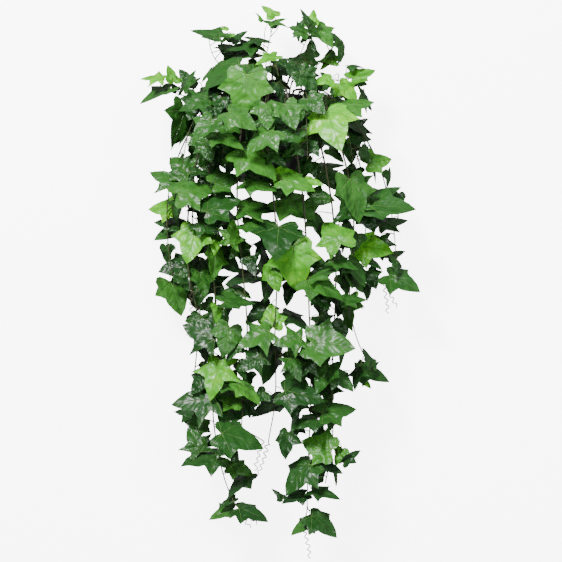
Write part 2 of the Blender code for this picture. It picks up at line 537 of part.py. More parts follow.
def is_hidden(shoot, seen):
    """True if a leaf lies behind the front ones, or behind the crown's edge, as seen from the front."""
    ring, middle = blade_points(shoot)
    for p in ring:
        crown = math.hypot((p.x - CROWN_MIDDLE[0]) / CROWN_HALF[0], (p.z - CROWN_MIDDLE[1]) / CROWN_HALF[1])
        if crown > 1 and not any(is_inside(shape, p.x, p.z, 0.005) for shape in seen):
            return False
    return all(middle.y > shape[-1] + 0.003 for shape in seen for p in ring + [middle]
               if is_inside(shape, p.x, p.z, -0.3 * shape[5]))


def grow():
    """{vine name: (path, radius, shoots)}. The tendrils come first, then the front leaves, then leaves
    behind them. A leaf that would touch what is already there tries other ways to grow."""
    paths = spread_apart([smooth_route(vine) for vine in VINES])
    tubes = [BVHTree.FromPolygons(*tube_surface(path, stem_radius(path) + STEM_CLEARANCE)) for path in paths]
    shoots, used = [[] for _ in VINES], [[] for _ in VINES]
    placed, seen = [], []
    found = [tendril(mark, paths, tubes, placed, used) for mark in range(len(TENDRILS))]
    found += [front_leaf(mark, paths, tubes, placed, used, seen) for mark in range(len(FRONT_LEAVES))]
    for number, shoot in filter(None, found):
        shoots[number].append(shoot)
    for number, (vine, path) in enumerate(zip(VINES, paths)):
        rng = random.Random(vine.seed)
        total = length_of(path)
        distance, side = vine.first, 1 if vine.seed % 2 else -1
        while distance < total - 0.004:
            share = (distance - vine.first) / max(total - vine.first, 1e-6)
            size = (vine.sizes[0] + (vine.sizes[1] - vine.sizes[0]) * share) * rng.uniform(0.78, 1.18)
            if all(abs(distance - at) > 4.5 * LEAF_JOINT for at in used[number]):
                for attempt in range(TRIES):
                    shoot = fill_leaf(vine, path, distance, size * (1 - 0.015 * attempt), side, rng)
                    if is_hidden(shoot, seen) and shoot_is_free(shoot, number, tubes, placed):
                        shoots[number].append(shoot)
                        used[number].append(distance)
                        break
            distance += vine.spacing * rng.uniform(0.85, 1.15)
            side = -side
    return {vine.name: (path, stem_radius(path), sorted(own, key=lambda shoot: shoot.at))
            for vine, path, own in zip(VINES, paths, shoots)}


def stem_radius(path):
    """A long trail has a thicker stem than a sprig."""
    return 0.0009 + 0.0009 * min(length_of(path) / 0.6, 1.0)


def shoot_is_free(shoot, own, tubes, placed):
    """True if the shoot touches no stem, no other shoot, the pot or the wall; if so it joins those placed."""
    points, faces = shoot_surface(shoot)
    if max(p.y for p in points) > -0.004:
        return False
    if any(rim_reach(*p) < 1.09 for p in points[:-4]):
        return False
    tree = BVHTree.FromPolygons(points, faces)
    middle = sum(points, Vector()) / len(points)
    radius = max((p - middle).length for p in points)
    for i, tube in enumerate(tubes):
        if i != own and tube.overlap(tree):
            return False
    if shoot.frame:
        corners = faces[0][0]
        if tubes[own].overlap(BVHTree.FromPolygons(points[:corners + 2], faces[:2 * corners])):
            return False
    for other, other_middle, other_radius in placed:
        if (middle - other_middle).length < radius + other_radius and other.overlap(tree):
            return False
    placed.append((tree, middle, radius))
    return True


def ring_of(bm, centre, corners):
    return [bm.verts.new(centre + c) for c in corners]


def bridge(bm, lower, upper, skip=None):
    """Side faces between two rings; the loop of the one left open is returned."""
    count = len(lower)
    for k in range(count):
        j = (k + 1) % count
        if k != skip:
            bm.faces.new((lower[k], lower[j], upper[j], upper[k]))
    if skip is None:
        return None
    j = (skip + 1) % count
    return [lower[skip], lower[j], upper[j], upper[skip]]


def turned_corners(corners, before, after, radius):
    """The corners of a tube's ring, carried round a bend and scaled."""
    turn = before.rotation_difference(after)
    return [(turn @ c).normalized() * radius for c in corners]


def stalk_mesh(bm, loop, shoot):
    """A leaf's stalk or a tendril, grown from an open face of the stem: rings along its points."""
    middle = sum((v.co for v in loop), Vector()) / 4
    before = (loop[1].co - loop[0].co).cross(loop[3].co - loop[0].co).normalized()
    corners = [v.co - middle for v in loop]
    radius = TENDRIL_RADIUS if shoot.frame is None else STALK_RADIUS
    points = [middle] + shoot.stalk[1:]
    last = len(points) - 1 if shoot.frame else len(points)
    for i in range(1, last):
        after = (points[min(i + 1, len(points) - 1)] - points[i - 1]).normalized()
        corners = turned_corners(corners, before, after, radius)
        ring = ring_of(bm, points[i], corners)
        bridge(bm, loop, ring)
        loop, before = ring, after
    if shoot.frame is None:
        bm.faces.new(loop)
        return
    leaf_mesh(bm, loop, corners, before, shoot)


def leaf_mesh(bm, loop, corners, before, shoot):
    """A leaf blade, thickest at its middle and sharp at its edge, joined to the end of its stalk."""
    axes = shoot.frame.to_3x3()
    across, tip_way, normal = axes.col
    base = shoot.frame.translation
    collar = [normal, across, -normal, -across]
    corners = turned_corners(corners, before, tip_way, 1)
    shift = max(range(4), key=lambda s: sum(corners[i].dot(collar[(i + s) % 4]) for i in range(4)))
    placed = [bm.verts.new(base + c * STALK_RADIUS) for c in collar]
    top, right_side, under, left_side = placed
    bridge(bm, loop, [placed[(i + shift) % 4] for i in range(4)])
    ring, middle = blade_points(shoot)
    outline = [bm.verts.new(p) for p in ring]
    above = bm.verts.new(middle + normal * LEAF_HALF_THICKNESS)
    below = bm.verts.new(middle - normal * LEAF_HALF_THICKNESS)
    upper = [right_side] + outline + [left_side, top]
    lower = [left_side] + outline[::-1] + [right_side, under]
    for centre, edge in ((above, upper), (below, lower)):
        for a, b in zip(edge, edge[1:] + edge[:1]):
            bm.faces.new((centre, a, b))


def vine_mesh(name, path, radius, shoots):
    """One vine as one closed body: a four-sided stem whose side faces open into stalks and leaves."""
    total = length_of(path)
    joints = [(shoot.at - LEAF_JOINT, shoot) for shoot in shoots]
    joints += [(shoot.at + LEAF_JOINT, None) for shoot in shoots]
    plain = [(at, None) for at in bends(path)
             if all(abs(at - shoot.at) > 3 * LEAF_JOINT for shoot in shoots)]
    stations = sorted(joints + plain, key=lambda station: station[0])
    bm = bmesh.new()
    corners = None
    for i, (distance, _) in enumerate(stations):
        centre, run = along(path, min(distance, total))
        size = radius * (1 - (1 - STEM_TIP) * distance / total)
        if corners is None:
            side = run.orthogonal().normalized()
            corners = [side, run.cross(side), -side, -run.cross(side)]
        else:
            corners = turned_corners(corners, last_run, run, 1)
        ring = ring_of(bm, centre, [c * size for c in corners])
        if i == 0:
            bm.faces.new(ring[::-1])
        else:
            shoot = stations[i - 1][1]
            skip = best_side(corners, shoot) if shoot else None
            opening = bridge(bm, last_ring, ring, skip)
            if shoot:
                stalk_mesh(bm, opening, shoot)
        last_ring, last_run = ring, run
    bm.faces.new(last_ring)
    mesh = bpy.data.meshes.new(name)
    bm.to_mesh(mesh)
    bm.free()
    return mesh


def bends(path):
    """The distances along a stem where it needs a ring: its ends, and wherever it has turned enough."""
    steps = np.diff(path, axis=0)
    lengths = np.linalg.norm(steps, axis=1)
    ways = steps / lengths[:, None]
    found, last_way, distance = [0.0, NECK], ways[2], lengths[:2].sum()
    for way, length in zip(ways[2:], lengths[2:]):
        turned = math.acos(min(1.0, float(way @ last_way)))
        if turned > MOST_TURN or distance - found[-1] > LONGEST_RUN:
            found.append(distance)
            last_way = way
        distance += length
    return found + [distance]


def best_side(corners, shoot):
    """The side face of the stem that looks most nearly along the shoot's stalk."""
    leave = (shoot.stalk[1] - shoot.stalk[0]).normalized()
    return max(range(4), key=lambda k: (corners[k] + corners[(k + 1) % 4]).dot(leave))


def material(name, colour, roughness, metallic=0.0):
    made = bpy.data.materials.new(name)
    made.use_nodes = True
    shader = made.node_tree.nodes["Principled BSDF"]
    shader.inputs["Base Color"].default_value = (*colour, 1)
    shader.inputs["Roughness"].default_value = roughness
    shader.inputs["Metallic"].default_value = metallic
    return made


def add_object(name, mesh, look):
    obj = bpy.data.objects.new(name, mesh)
    bpy.context.scene.collection.objects.link(obj)
    mesh.materials.append(look)
    return obj


def half_plan(half_width, depth, z, back=0.0):
    """Half an ellipse with its flat side at the wall, counter-clockwise from above."""
    points = []
    for i in range(PLAN_STEPS + 1):
        turn = math.pi * (1 + i / PLAN_STEPS)
        points.append(Vector((half_width * math.cos(turn), -back + (depth - back) * math.sin(turn), z)))
    return points


def lofted(bm, plans):
    """A solid through plans stacked upwards."""
    rings = [[bm.verts.new(p) for p in plan] for plan in plans]
    bm.faces.new(rings[0][::-1])
    for lower, upper in zip(rings, rings[1:]):
        bridge(bm, lower, upper)
    bm.faces.new(rings[-1])


def helper(name, bm):
    """A cutter, or a piece that is joined to another, which isn't a part of its own."""
    mesh = bpy.data.meshes.new(name)
    bm.to_mesh(mesh)
    bm.free()
    obj = bpy.data.objects.new(name, mesh)
    bpy.context.scene.collection.objects.link(obj)
    obj.hide_render = True
    obj.display_type = "WIRE"
    return obj


def boolean(obj, other, operation):
    modifier = obj.modifiers.new(other.name, "BOOLEAN")
    modifier.operation = operation
    modifier.object = other


def drum(bm, centre, radius, height, sides, turn=None):
    """A cylinder cutter, upright unless it is turned."""
    place = Matrix.Translation(centre) @ (turn or Matrix())
    bmesh.ops.create_cone(bm, cap_ends=True, segments=sides, radius1=radius, radius2=radius, depth=height,
                          matrix=place)


def wall_pot(look):
    """The pot: a lofted half-round shell with a rim band, a hanging tab at the back and drain holes."""
    bm = bmesh.new()
    band = POT_TOP - RIM_BAND
    lofted(bm, [half_plan(width_at(POT_FLOOR), depth_at(POT_FLOOR), POT_FLOOR),
                half_plan(width_at(band), depth_at(band), band),
                half_plan(width_at(band) + RIM_PROUD, depth_at(band) + RIM_PROUD, band + RIM_PROUD / 2),
                half_plan(width_at(POT_TOP) + RIM_PROUD, depth_at(POT_TOP) + RIM_PROUD, POT_TOP)])
    mesh = bpy.data.meshes.new("wall_pot")
    bm.to_mesh(mesh)
    bm.free()
    pot = add_object("wall_pot", mesh, look)

    bm = bmesh.new()
    floor, top = POT_FLOOR + WALL, POT_TOP + 0.01
    lofted(bm, [half_plan(width_at(floor) - WALL, depth_at(floor) - WALL, floor, WALL),
                half_plan(width_at(top) - WALL, depth_at(top) - WALL, top, WALL)])
    boolean(pot, helper("pot_hollow", bm), "DIFFERENCE")

    bm = bmesh.new()
    foot = POT_TOP - 0.012
    tab = [(-TAB_HALF_WIDTH, foot), (TAB_HALF_WIDTH, foot)]
    for i in range(9):
        turn = math.pi * i / 8
        tab.append((TAB_HALF_WIDTH * math.cos(turn), TAB_TOP - TAB_HALF_WIDTH * (1 - math.sin(turn))))
    front = [bm.verts.new((x, -WALL, z)) for x, z in tab]
    back = [bm.verts.new((x, 0, z)) for x, z in tab]
    bm.faces.new(front)
    bm.faces.new(back[::-1])
    bridge(bm, front[::-1], back[::-1])
    bmesh.ops.recalc_face_normals(bm, faces=bm.faces)
    boolean(pot, helper("hanging_tab", bm), "UNION")

    bm = bmesh.new()
    drum(bm, (0, -WALL / 2, TAB_HOLE_HEIGHT), TAB_HOLE, 0.02, 16, Matrix.Rotation(math.pi / 2, 4, "X"))
    for x, y in DRAINS:
        drum(bm, (x, y, POT_FLOOR), DRAIN_RADIUS, 0.02, 12)
    boolean(pot, helper("pot_holes", bm), "DIFFERENCE")
    return pot


def potting_soil(look, grown):
    """The soil: a plug with a low crown, and a planting hole at each stem."""
    bm = bmesh.new()
    floor = POT_FLOOR + WALL + FIT_GAP
    inset = WALL + FIT_GAP
    plans = [half_plan(width_at(z) - inset, depth_at(z) - inset, z, inset) for z in (floor, SOIL_TOP)]
    crown = [Vector((p.x * 0.72, p.y * 0.72 - 0.012, SOIL_TOP + SOIL_CROWN)) for p in plans[-1]]
    lofted(bm, plans + [crown])
    mesh = bpy.data.meshes.new("potting_soil")
    bm.to_mesh(mesh)
    bm.free()
    soil = add_object("potting_soil", mesh, look)
    bm = bmesh.new()
    for vine in VINES:
        hole = grown[vine.name][1] + PLANTING_CLEARANCE
        drum(bm, (*vine.root, SOIL_TOP - PLANTING_DEPTH + 0.01), hole, 0.02, 6)
    boolean(soil, helper("planting_holes", bm), "DIFFERENCE")
    return soil


for old in list(bpy.data.objects):
    bpy.data.objects.remove(old)

plastic = material("black_pot_plastic", (0.012, 0.011, 0.010), 0.55)
earth = material("potting_soil", (0.030, 0.018, 0.010), 0.95)
ivy = material("ivy_green", (0.035, 0.130, 0.022), 0.40)

vines = grow()
wall_pot(plastic)
potting_soil(earth, vines)
for vine_name, (vine_path, vine_radius, vine_shoots) in vines.items():
    add_object(vine_name, vine_mesh(vine_name, vine_path, vine_radius, vine_shoots), ivy)
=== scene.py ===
import json
import math
import random
from collections import namedtuple

import bmesh
import bpy
import numpy as np
from mathutils import Matrix, Vector
from mathutils.bvhtree import BVHTree

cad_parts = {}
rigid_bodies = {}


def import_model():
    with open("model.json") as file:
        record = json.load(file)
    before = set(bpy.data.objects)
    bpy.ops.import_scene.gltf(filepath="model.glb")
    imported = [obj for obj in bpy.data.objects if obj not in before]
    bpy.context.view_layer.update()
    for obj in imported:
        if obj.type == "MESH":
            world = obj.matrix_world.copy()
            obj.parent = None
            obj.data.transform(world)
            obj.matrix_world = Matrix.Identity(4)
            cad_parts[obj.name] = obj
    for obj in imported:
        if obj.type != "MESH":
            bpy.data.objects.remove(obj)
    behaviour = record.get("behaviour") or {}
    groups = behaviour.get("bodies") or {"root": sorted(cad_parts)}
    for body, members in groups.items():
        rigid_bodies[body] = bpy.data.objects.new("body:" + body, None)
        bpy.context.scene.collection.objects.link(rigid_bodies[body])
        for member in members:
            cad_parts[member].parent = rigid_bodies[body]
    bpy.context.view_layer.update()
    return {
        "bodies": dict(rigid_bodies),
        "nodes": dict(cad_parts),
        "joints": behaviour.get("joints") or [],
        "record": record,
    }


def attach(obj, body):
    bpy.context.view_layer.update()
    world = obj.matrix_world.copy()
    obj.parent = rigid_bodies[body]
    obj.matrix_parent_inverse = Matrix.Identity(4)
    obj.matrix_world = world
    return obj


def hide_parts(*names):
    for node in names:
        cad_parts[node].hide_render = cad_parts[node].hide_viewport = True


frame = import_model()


# --- Wall pot -------------------------------------------------------------------------------------------
# A half-round wall pot of black polypropylene, injection moulded. It keeps the shape of its CAD node; only
# its surface is made here: a fine moulded grain, a faint mottle of dust all over and a satin sheen.

def linear(hex_colour):
    """A linear RGBA colour from an sRGB hex value."""
    parts = [int(hex_colour[i:i + 2], 16) / 255 for i in (1, 3, 5)]
    return (*[c / 12.92 if c <= 0.04045 else ((c + 0.055) / 1.055) ** 2.4 for c in parts], 1)


def add_node(tree, kind, settings=None, links=None):
    """Adds one node. Its settings are attributes, input values and a colour ramp's stops, each a place and a
    hex colour. Its links are sockets for its inputs, or numbers and hex colours in place of a socket."""
    node = tree.nodes.new(kind)
    for key, value in (settings or {}).items():
        if key == "stops":
            elements = node.color_ramp.elements
            while len(elements) < len(value):
                elements.new(0.5)
            for element, (place, colour) in zip(elements, value):
                element.position = place
                element.color = linear(colour)
        elif isinstance(key, str) and hasattr(node, key):
            setattr(node, key, value)
        else:
            node.inputs[key].default_value = value
    for key, source in (links or {}).items():
        if isinstance(source, bpy.types.NodeSocket):
            tree.links.new(source, node.inputs[key])
        else:
            node.inputs[key].default_value = linear(source) if isinstance(source, str) else source
    return node


def new_finish(name):
    """A material with only a Principled shader and its output: returns it, its tree and the shader."""
    finish = bpy.data.materials.new(name)
    finish.use_nodes = True
    tree = finish.node_tree
    return finish, tree, tree.nodes["Principled BSDF"]


def moulded_polypropylene():
    """Black polypropylene from a spark-eroded mould: a fine even grain and soft broad highlights."""
    finish, tree, shader = new_finish("moulded_polypropylene")
    place = add_node(tree, "ShaderNodeTexCoord").outputs["Object"]
    dust = add_node(tree, "ShaderNodeTexNoise", {"Scale": 38.0, "Detail": 5.0}, {"Vector": place})
    shade = add_node(tree, "ShaderNodeValToRGB", {
        "stops": [(0.35, "#080707"), (0.60, "#0C0B0B"), (0.80, "#141211")]}, {"Fac": dust.outputs["Fac"]})
    tree.links.new(shade.outputs["Color"], shader.inputs["Base Color"])
    rough = add_node(tree, "ShaderNodeMapRange", {"To Min": 0.42, "To Max": 0.62},
                     {"Value": dust.outputs["Fac"]})
    tree.links.new(rough.outputs["Result"], shader.inputs["Roughness"])
    grain = add_node(tree, "ShaderNodeTexNoise", {"Scale": 1400.0, "Detail": 2.0}, {"Vector": place})
    bump = add_node(tree, "ShaderNodeBump", {"Strength": 0.25, "Distance": 0.0003},
                    {"Height": grain.outputs["Fac"]})
    tree.links.new(bump.outputs["Normal"], shader.inputs["Normal"])
    return finish


pot = frame["nodes"]["wall_pot"]
pot.data.materials.clear()
pot.data.materials.append(moulded_polypropylene())


# --- Potting soil ---------------------------------------------------------------------------------------
# Dark peat compost with lumps and a few white perlite grains. Its plug keeps the shape of its CAD node and
# sits in the pot, and loose crumbs are strewn on its top, between the stems.
UPWARD = 0.8  # how far up a face has to point for crumbs to lie on it
CRUMBS_PER_SQUARE_METRE = 60000
GRAINS_PER_SQUARE_METRE = 3500


def peat_compost():
    """Peat compost: nearly black when damp, fibrous and quite matt."""
    finish, tree, shader = new_finish("peat_compost")
    place = add_node(tree, "ShaderNodeTexCoord").outputs["Object"]
    lumps = add_node(tree, "ShaderNodeTexNoise", {"Scale": 160.0, "Detail": 8.0, "Roughness": 0.7},
                     {"Vector": place})
    shade = add_node(tree, "ShaderNodeValToRGB", {
        "stops": [(0.30, "#15100C"), (0.55, "#2E2219"), (0.72, "#4A3828")]}, {"Fac": lumps.outputs["Fac"]})
    tree.links.new(shade.outputs["Color"], shader.inputs["Base Color"])
    shader.inputs["Roughness"].default_value = 0.95
    bump = add_node(tree, "ShaderNodeBump", {"Strength": 0.9, "Distance": 0.0015},
                    {"Height": lumps.outputs["Fac"]})
    tree.links.new(bump.outputs["Normal"], shader.inputs["Normal"])
    return finish


def perlite():
    """Perlite: white, porous volcanic glass, chalky to the eye."""
    finish, tree, shader = new_finish("perlite")
    place = add_node(tree, "ShaderNodeTexCoord").outputs["Object"]
    pores = add_node(tree, "ShaderNodeTexNoise", {"Scale": 900.0, "Detail": 3.0}, {"Vector": place})
    shade = add_node(tree, "ShaderNodeValToRGB", {"stops": [(0.35, "#B9B4A8"), (0.60, "#E4E1D8")]},
                     {"Fac": pores.outputs["Fac"]})
    tree.links.new(shade.outputs["Color"], shader.inputs["Base Color"])
    shader.inputs["Roughness"].default_value = 0.9
    return finish


def soil_crumbs(name, density, smallest, largest, finish, seed):
    """Crumbs strewn over the soil's top by Geometry Nodes: bent low-poly grains on its upward faces."""
    grain_mesh = bpy.data.meshes.new(name + "_grain")
    grain_bm = bmesh.new()
    bmesh.ops.create_icosphere(grain_bm, subdivisions=1, radius=1.0)
    rng = random.Random(seed)
    for vert in grain_bm.verts:
        vert.co *= rng.uniform(0.6, 1.1)
        vert.co.z *= 0.7
    grain_bm.to_mesh(grain_mesh)
    grain_bm.free()
    grain = bpy.data.objects.new(name + "_grain", grain_mesh)

    tree = bpy.data.node_groups.new(name, "GeometryNodeTree")
    tree.interface.new_socket("Soil", in_out="INPUT", socket_type="NodeSocketGeometry")
    for label, kind in (("Grain", "Object"), ("Per square metre", "Float"), ("Smallest", "Float"),
                        ("Largest", "Float"), ("Seed", "Int"), ("Finish", "Material")):
        tree.interface.new_socket(label, in_out="INPUT", socket_type="NodeSocket" + kind)
    tree.interface.new_socket("Crumbs", in_out="OUTPUT", socket_type="NodeSocketGeometry")
    inputs = add_node(tree, "NodeGroupInput")
    normal = add_node(tree, "GeometryNodeInputNormal")
    split = add_node(tree, "ShaderNodeSeparateXYZ", links={"Vector": normal.outputs[0]})
    upward = add_node(tree, "FunctionNodeCompare",
                      {"data_type": "FLOAT", "operation": "GREATER_THAN", "B": UPWARD},
                      {"A": split.outputs["Z"]})
    strewn = add_node(tree, "GeometryNodeDistributePointsOnFaces", links={
        "Mesh": inputs.outputs["Soil"], "Selection": upward.outputs["Result"],
        "Density": inputs.outputs["Per square metre"], "Seed": inputs.outputs["Seed"]})
    shape = add_node(tree, "GeometryNodeObjectInfo", links={"Object": inputs.outputs["Grain"]})
    size = add_node(tree, "FunctionNodeRandomValue", {"data_type": "FLOAT"}, {
        "Min": inputs.outputs["Smallest"], "Max": inputs.outputs["Largest"], "Seed": inputs.outputs["Seed"]})
    turn = add_node(tree, "FunctionNodeRandomValue", {"data_type": "FLOAT_VECTOR", "Max": (6.28, 6.28, 6.28)},
                    {"Seed": inputs.outputs["Seed"]})
    laid = add_node(tree, "GeometryNodeInstanceOnPoints", links={
        "Points": strewn.outputs["Points"], "Instance": shape.outputs["Geometry"],
        "Rotation": turn.outputs["Value"], "Scale": size.outputs[1]})
    real = add_node(tree, "GeometryNodeRealizeInstances", links={"Geometry": laid.outputs["Instances"]})
    coated = add_node(tree, "GeometryNodeSetMaterial", links={
        "Geometry": real.outputs["Geometry"], "Material": inputs.outputs["Finish"]})
    add_node(tree, "NodeGroupOutput", links={"Crumbs": coated.outputs["Geometry"]})
    values = {"Grain": grain, "Per square metre": density, "Smallest": smallest, "Largest": largest,
              "Seed": seed, "Finish": finish}
    return made_by_nodes(name, frame["nodes"]["potting_soil"].data.copy(), tree, values)


def made_by_nodes(name, mesh, tree, values):
    """Runs a Geometry Nodes tree on a mesh and returns the plain mesh object that it makes."""
    source = bpy.data.objects.new(name + "_source", mesh)
    bpy.context.scene.collection.objects.link(source)
    modifier = source.modifiers.new("nodes", "NODES")
    modifier.node_group = tree
    sockets = {item.name: item.identifier for item in tree.interface.items_tree if item.in_out == "INPUT"}
    for label, value in values.items():
        modifier[sockets[label]] = value
    bpy.context.view_layer.update()
    evaluated = source.evaluated_get(bpy.context.evaluated_depsgraph_get())
    made = bpy.data.meshes.new_from_object(evaluated)
    made.name = name
    bpy.data.objects.remove(source)
    piece = bpy.data.objects.new(name, made)
    bpy.context.scene.collection.objects.link(piece)
    return piece


soil = frame["nodes"]["potting_soil"]
soil.data.materials.clear()
soil.data.materials.append(peat_compost())
for crumbs in (soil_crumbs("soil_crumbs", CRUMBS_PER_SQUARE_METRE, 0.0008, 0.0022,
                           soil.data.materials[0], 5),
               soil_crumbs("perlite_grains", GRAINS_PER_SQUARE_METRE, 0.0008, 0.0018, perlite(), 9)):
    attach(crumbs, "root")


# --- Ivy: how the vines grow ----------------------------------------------------------------------------
# Common ivy rooted in the soil: each vine is one grown piece, a woody stem with stalked leaves on both
# sides. The routes and the growth rule are those of the CAD vines, so that every leaf lies where its solid
# does.
RIM_HALF_WIDTH = 0.072
FLOOR_HALF_WIDTH = 0.056
RIM_DEPTH = 0.122
FLOOR_DEPTH = 0.094
POT_TOP = 0.068
POT_FLOOR = -0.068
SOIL_TOP = 0.050
PLANTING_DEPTH = 0.008
FIT_GAP = 0.0004
STEM_SAMPLE = 0.006
STEM_GAP = 0.0062
STEM_TIP = 0.55
STEM_CLEARANCE = 0.0012
POT_CLEARANCE = 0.007
STAND_OFF = 1.12
NECK = 0.016
STALK_RADIUS = 0.0006
LEAF_JOINT = 0.0013
BLADE_CLEARANCE = 0.0010
TENDRIL_RADIUS = 0.0007
TENDRIL_PITCH = 0.0052
TENDRIL_SWING = 0.0034
TRIES = 24
SMALL_LEAF = 0.036
LONGEST_LEAF = 0.072
LEAF_SPREAD = 1.18
STALK_REACH = 0.016
LONGEST_STALK = 0.055
FORWARD = 0.030
STEM_COVER = 0.008
CROWN_MIDDLE = (0.005, 0.034)
CROWN_HALF = (0.130, 0.092)

# The lobes' tips and the notches between them on half a leaf one unit long, from its stalk to its tip. The
# other half mirrors them.
FIVE_LOBES = ((0.39, -0.15), (0.40, 0.08), (0.60, 0.33), (0.31, 0.46))
STAR_LOBES = ((0.42, -0.10), (0.30, 0.12), (0.62, 0.40), (0.24, 0.47))
THREE_LOBES = ((0.46, 0.10), (0.26, 0.42))
STAR_CURL = 3
# How far the right half, the left half and the tip stand off the leaf's plane, in leaf lengths.
CURLS = (
    ((-0.05, 0.00, -0.08, 0.01), (-0.05, 0.00, -0.08, 0.01), -0.12),
    ((0.07, 0.04, 0.10, 0.05), (0.06, 0.04, 0.12, 0.05), -0.06),
    ((-0.10, -0.02, -0.15, -0.02), (-0.09, -0.02, -0.17, -0.02), -0.24),
    ((0.05, 0.02, 0.07, 0.03), (-0.09, -0.02, -0.14, -0.02), -0.10),
)

Vine = namedtuple("Vine", "name root route first spacing sizes facing droop seed")
Shoot = namedtuple("Shoot", "at stalk frame size curl mark")

